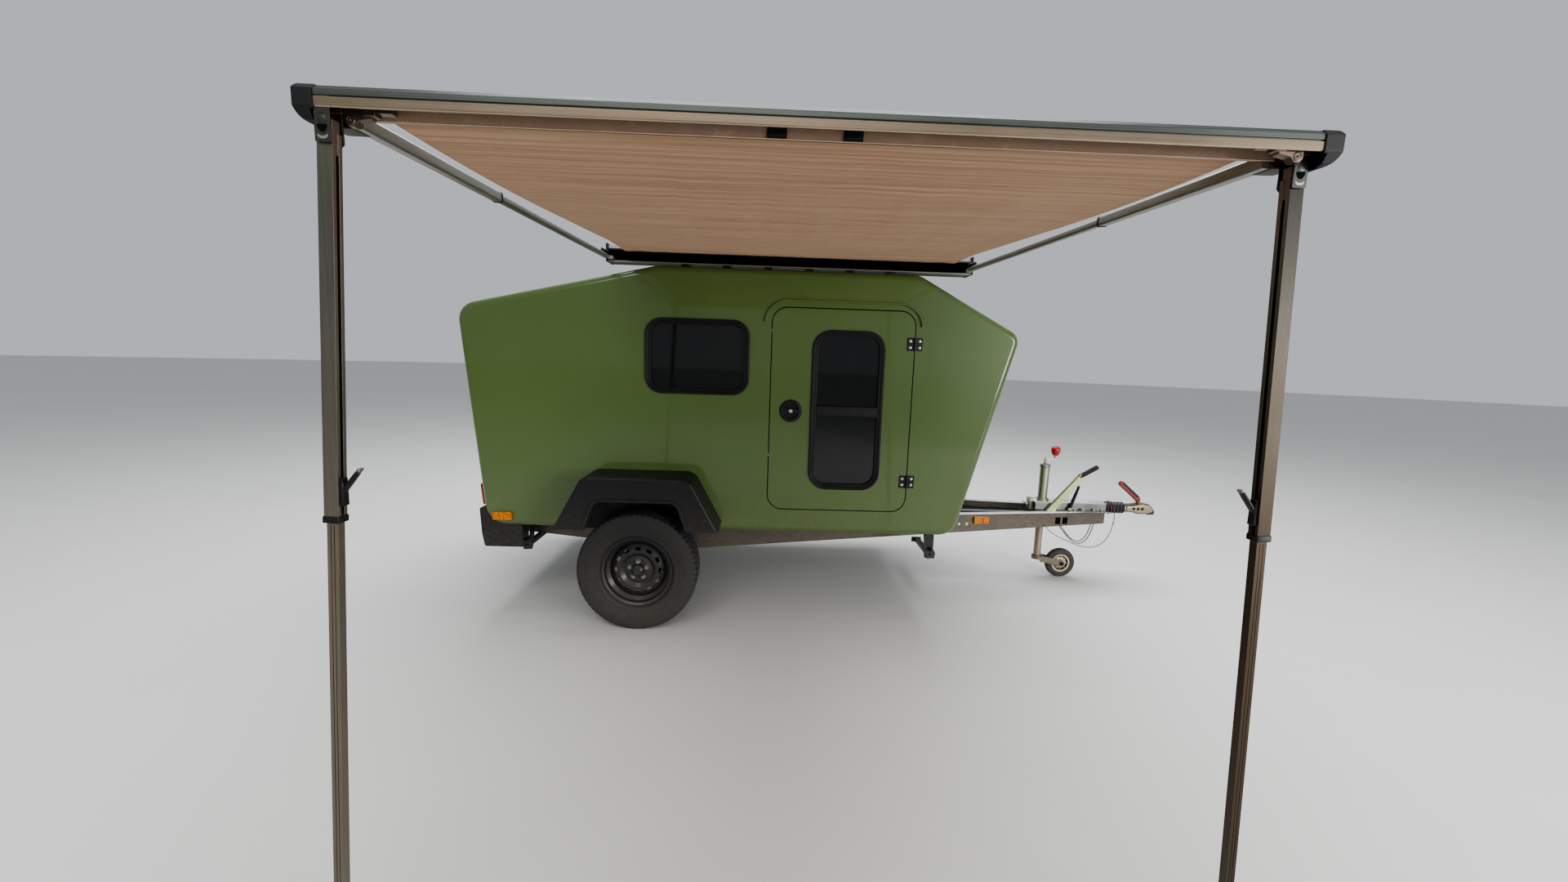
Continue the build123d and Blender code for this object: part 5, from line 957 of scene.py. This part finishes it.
# Legs: side slots and the brackets' mouths drawn as painted shade, brackets round the pivots, dark with their
# black and painted shade, cams with a light tip, collars, lines and feet
FACE = mirrored([(14, 1803.5), (14, 1838), (12.4, 1844), (8, 1849), (3, 1851)])
MOUTH = mirrored([(2.5, 1819.5), (6, 1823), (9, 1829), (8.5, 1833)])
CRESCENT = mirrored([(4, 1808), (8.5, 1811), (9.5, 1817), (5, 1813.8), (0, 1812.6)])
front, cam_side = Vector((0, -1, 0)), Vector((0, 1, 0))
for end, sign in (("rear", -1), ("front", 1)):
    pivot_x, leg_y = AWNING_X + sign * LEG_REACH, LEG_YS[end]
    pivot = at(pivot_x, leg_y, PIVOT_HEIGHT)
    down = Vector((sign * math.sin(LEG_SPLAY), 0, -math.cos(LEG_SPLAY)))
    inward = Vector((-sign * math.cos(LEG_SPLAY), 0, -math.sin(LEG_SPLAY)))

    def leg_point(along, aside, out):
        return pivot + (down * along + inward * aside + front * out) * MM

    slots, face, mouth, crescent, cam, tip, ring, lines, pad = (Shape() for _ in range(9))
    # Flat black strips on the legs' sides: painted shade standing for the slots
    slots.prism([leg_point(along, 14.05, out)
                 for along, out in ((66, -3.2), (66, 3.2), (728, 3.2), (728, -3.2))], -inward * 0.004)
    # Each bracket's face, in its black and painted shade; its mouth, painted shade in the opening; and a light
    # crescent
    for shape, out, push, outline in ((face, 17.4, 0.9, FACE), (mouth, 18.2, 0.4, MOUTH),
                                      (crescent, 18.2, 0.6, CRESCENT)):
        shape.plate([(pivot_x + a, height) for a, height in outline], leg_y - out, -push)
    face.lathe(at(pivot_x, leg_y - 18.1, 1841), front, [(7.5, 0), (7.5, 0.5), (6, 0.9), (0, 1.0)], 28)
    foot = leg_point(685, 15, 0)
    cam_way = (inward * 34 - down * 50).normalized()
    thick = cam_way.cross(cam_side).normalized()

    def cam_ring(distance, wide, deep, outline):
        return [foot + (cam_way * distance + cam_side * a * wide + thick * b * deep) * MM for a, b in outline]

    cam.rows([cam_ring(*place, rounded(14, 8, 3, 4))
              for place in ((-1, 1, 1), (20, 1.05, 1), (42, 1.1, 0.9), (56, 1.1, 0.7))], caps=True)
    cam.box(foot - Vector((0.0055, 0.0085, 0.026)), foot + Vector((0.0055, 0.0085, 0.030)))
    tip.rows([cam_ring(*place, rounded(15, 6.5, 2.5, 4))
              for place in ((56, 1, 1), (61, 1, 1), (63, 0.8, 0.8))], caps=True)
    ring.rows([[leg_point(along, a, b) for a, b in rounded(31.4 + grow, 28.4 + grow, 3, 3)]
               for along, grow in ((732, 0), (734, 1.6), (745.3, 1.6))]
              + [[leg_point(745.3, a, b) for a, b in rounded(24.4, 21.4, 1.5, 3)]])
    line_end = PIVOT_HEIGHT / math.cos(LEG_SPLAY) - 32
    for aside in (-3.2, 3.2):
        lines.prism([leg_point(along, aside + half, 9.2) for half, along in
                     ((-0.5, 750), (0.5, 750), (0.5, line_end), (-0.5, line_end))], front * 0.0003)
    foot_x = pivot_x + sign * PIVOT_HEIGHT * math.tan(LEG_SPLAY)
    for width, deep, low_height, high_height, corner in ((66, 26, 0, 6, 9), (40, 26, 6, 31, 5)):
        pad.rows([[at(foot_x + a, leg_y + b, height) for a, b in rounded(width, deep, corner, 5)]
                  for height in (low_height, high_height)], caps=True)
    upper, lower = f"awning_{end}_upper", f"awning_{end}_lower"
    slots.piece(f"leg_slots_{end}", "black_moulding", painted_shade_black, body=upper)
    face.piece(f"bracket_face_{end}", "anodised_aluminium", bracket_black_and_shade, soft=0.0003)
    mouth.piece(f"bracket_mouth_{end}", "black_moulding", painted_shade_black)
    crescent.piece(f"bracket_rim_{end}", "anodised_aluminium", aluminium_across, soft=0.0002)
    cam.piece(f"leg_cam_{end}", "black_moulding", body=upper, soft=0.0012)
    tip.piece(f"leg_cam_tip_{end}", "anodised_aluminium", aluminium_upright, body=upper, soft=0.001)
    ring.piece(f"leg_collar_{end}", "black_moulding", body=upper, soft=0.0008)
    lines.piece(f"leg_lines_{end}", "black_moulding", painted_shade_black, body=lower)
    pad.piece(f"leg_pad_{end}", "black_moulding", body=lower, soft=0.0015)

# Floor, light and camera
bpy.ops.mesh.primitive_circle_add(vertices=128, radius=60, fill_type="NGON", location=(-2.2, 0, -0.4805))
floor = bpy.context.object
floor.name = "studio_floor"
ground = Finish("studio_floor", (0.62, 0.61, 0.59), 0.8)
ground.paint(base_color=ground.blend(ground.noise(0.8, 4), (0.60, 0.59, 0.57), (0.66, 0.65, 0.63)))
floor.data.materials.append(ground.material)

world = bpy.data.worlds.new("studio")
scene.world = world
world.use_nodes = True
background = world.node_tree.nodes["Background"].inputs
background["Color"].default_value = (0.86, 0.90, 0.95, 1)
background["Strength"].default_value = 0.53


def softbox(name, place, aim, size, power, colour=(1, 1, 1)):
    light = bpy.data.lights.new(name, "AREA")
    light.shape = "RECTANGLE"
    light.size, light.size_y = size
    light.energy = power
    light.color = colour
    lamp = linked(name, light)
    lamp.location = place
    lamp.rotation_euler = (Vector(aim) - Vector(place)).to_track_quat("-Z", "Y").to_euler()


softbox("key", (-3.6, -8.0, 6.0), (-1.8, -0.7, 0.5), (6, 4), 330, (1.0, 0.98, 0.95))
softbox("top", (-2.4, 1.5, 6.5), (-2.4, 0.2, 0.6), (7, 5), 620, (0.95, 0.98, 1.0))
softbox("nose", (2.8, -6.2, 1.2), (-1.5, -0.7, 0.5), (3.2, 2.2), 330)

YAW, PITCH, ROLL = (math.radians(value) for value in (-1.67, -8.03, 1.90))
ahead = Vector((-math.sin(YAW) * math.cos(PITCH), math.cos(YAW) * math.cos(PITCH), math.sin(PITCH)))
level = Vector((math.cos(YAW), math.sin(YAW), 0))
upright = level.cross(ahead)
right = level * math.cos(ROLL) + upright * math.sin(ROLL)
above = upright * math.cos(ROLL) - level * math.sin(ROLL)
lens_data = bpy.data.cameras.new("camera")
lens_data.sensor_width = 36
lens_data.lens = 13.5
lens_data.clip_end = 200
camera = linked("camera", lens_data)
turned = Matrix((right, above, -ahead)).transposed().to_4x4()
turned.translation = Vector((-2.600, -3.895, 0.9655))
camera.matrix_world = turned
scene.camera = camera
scene.view_settings.view_transform = "AgX"
scene.view_settings.look = "AgX - Medium High Contrast"
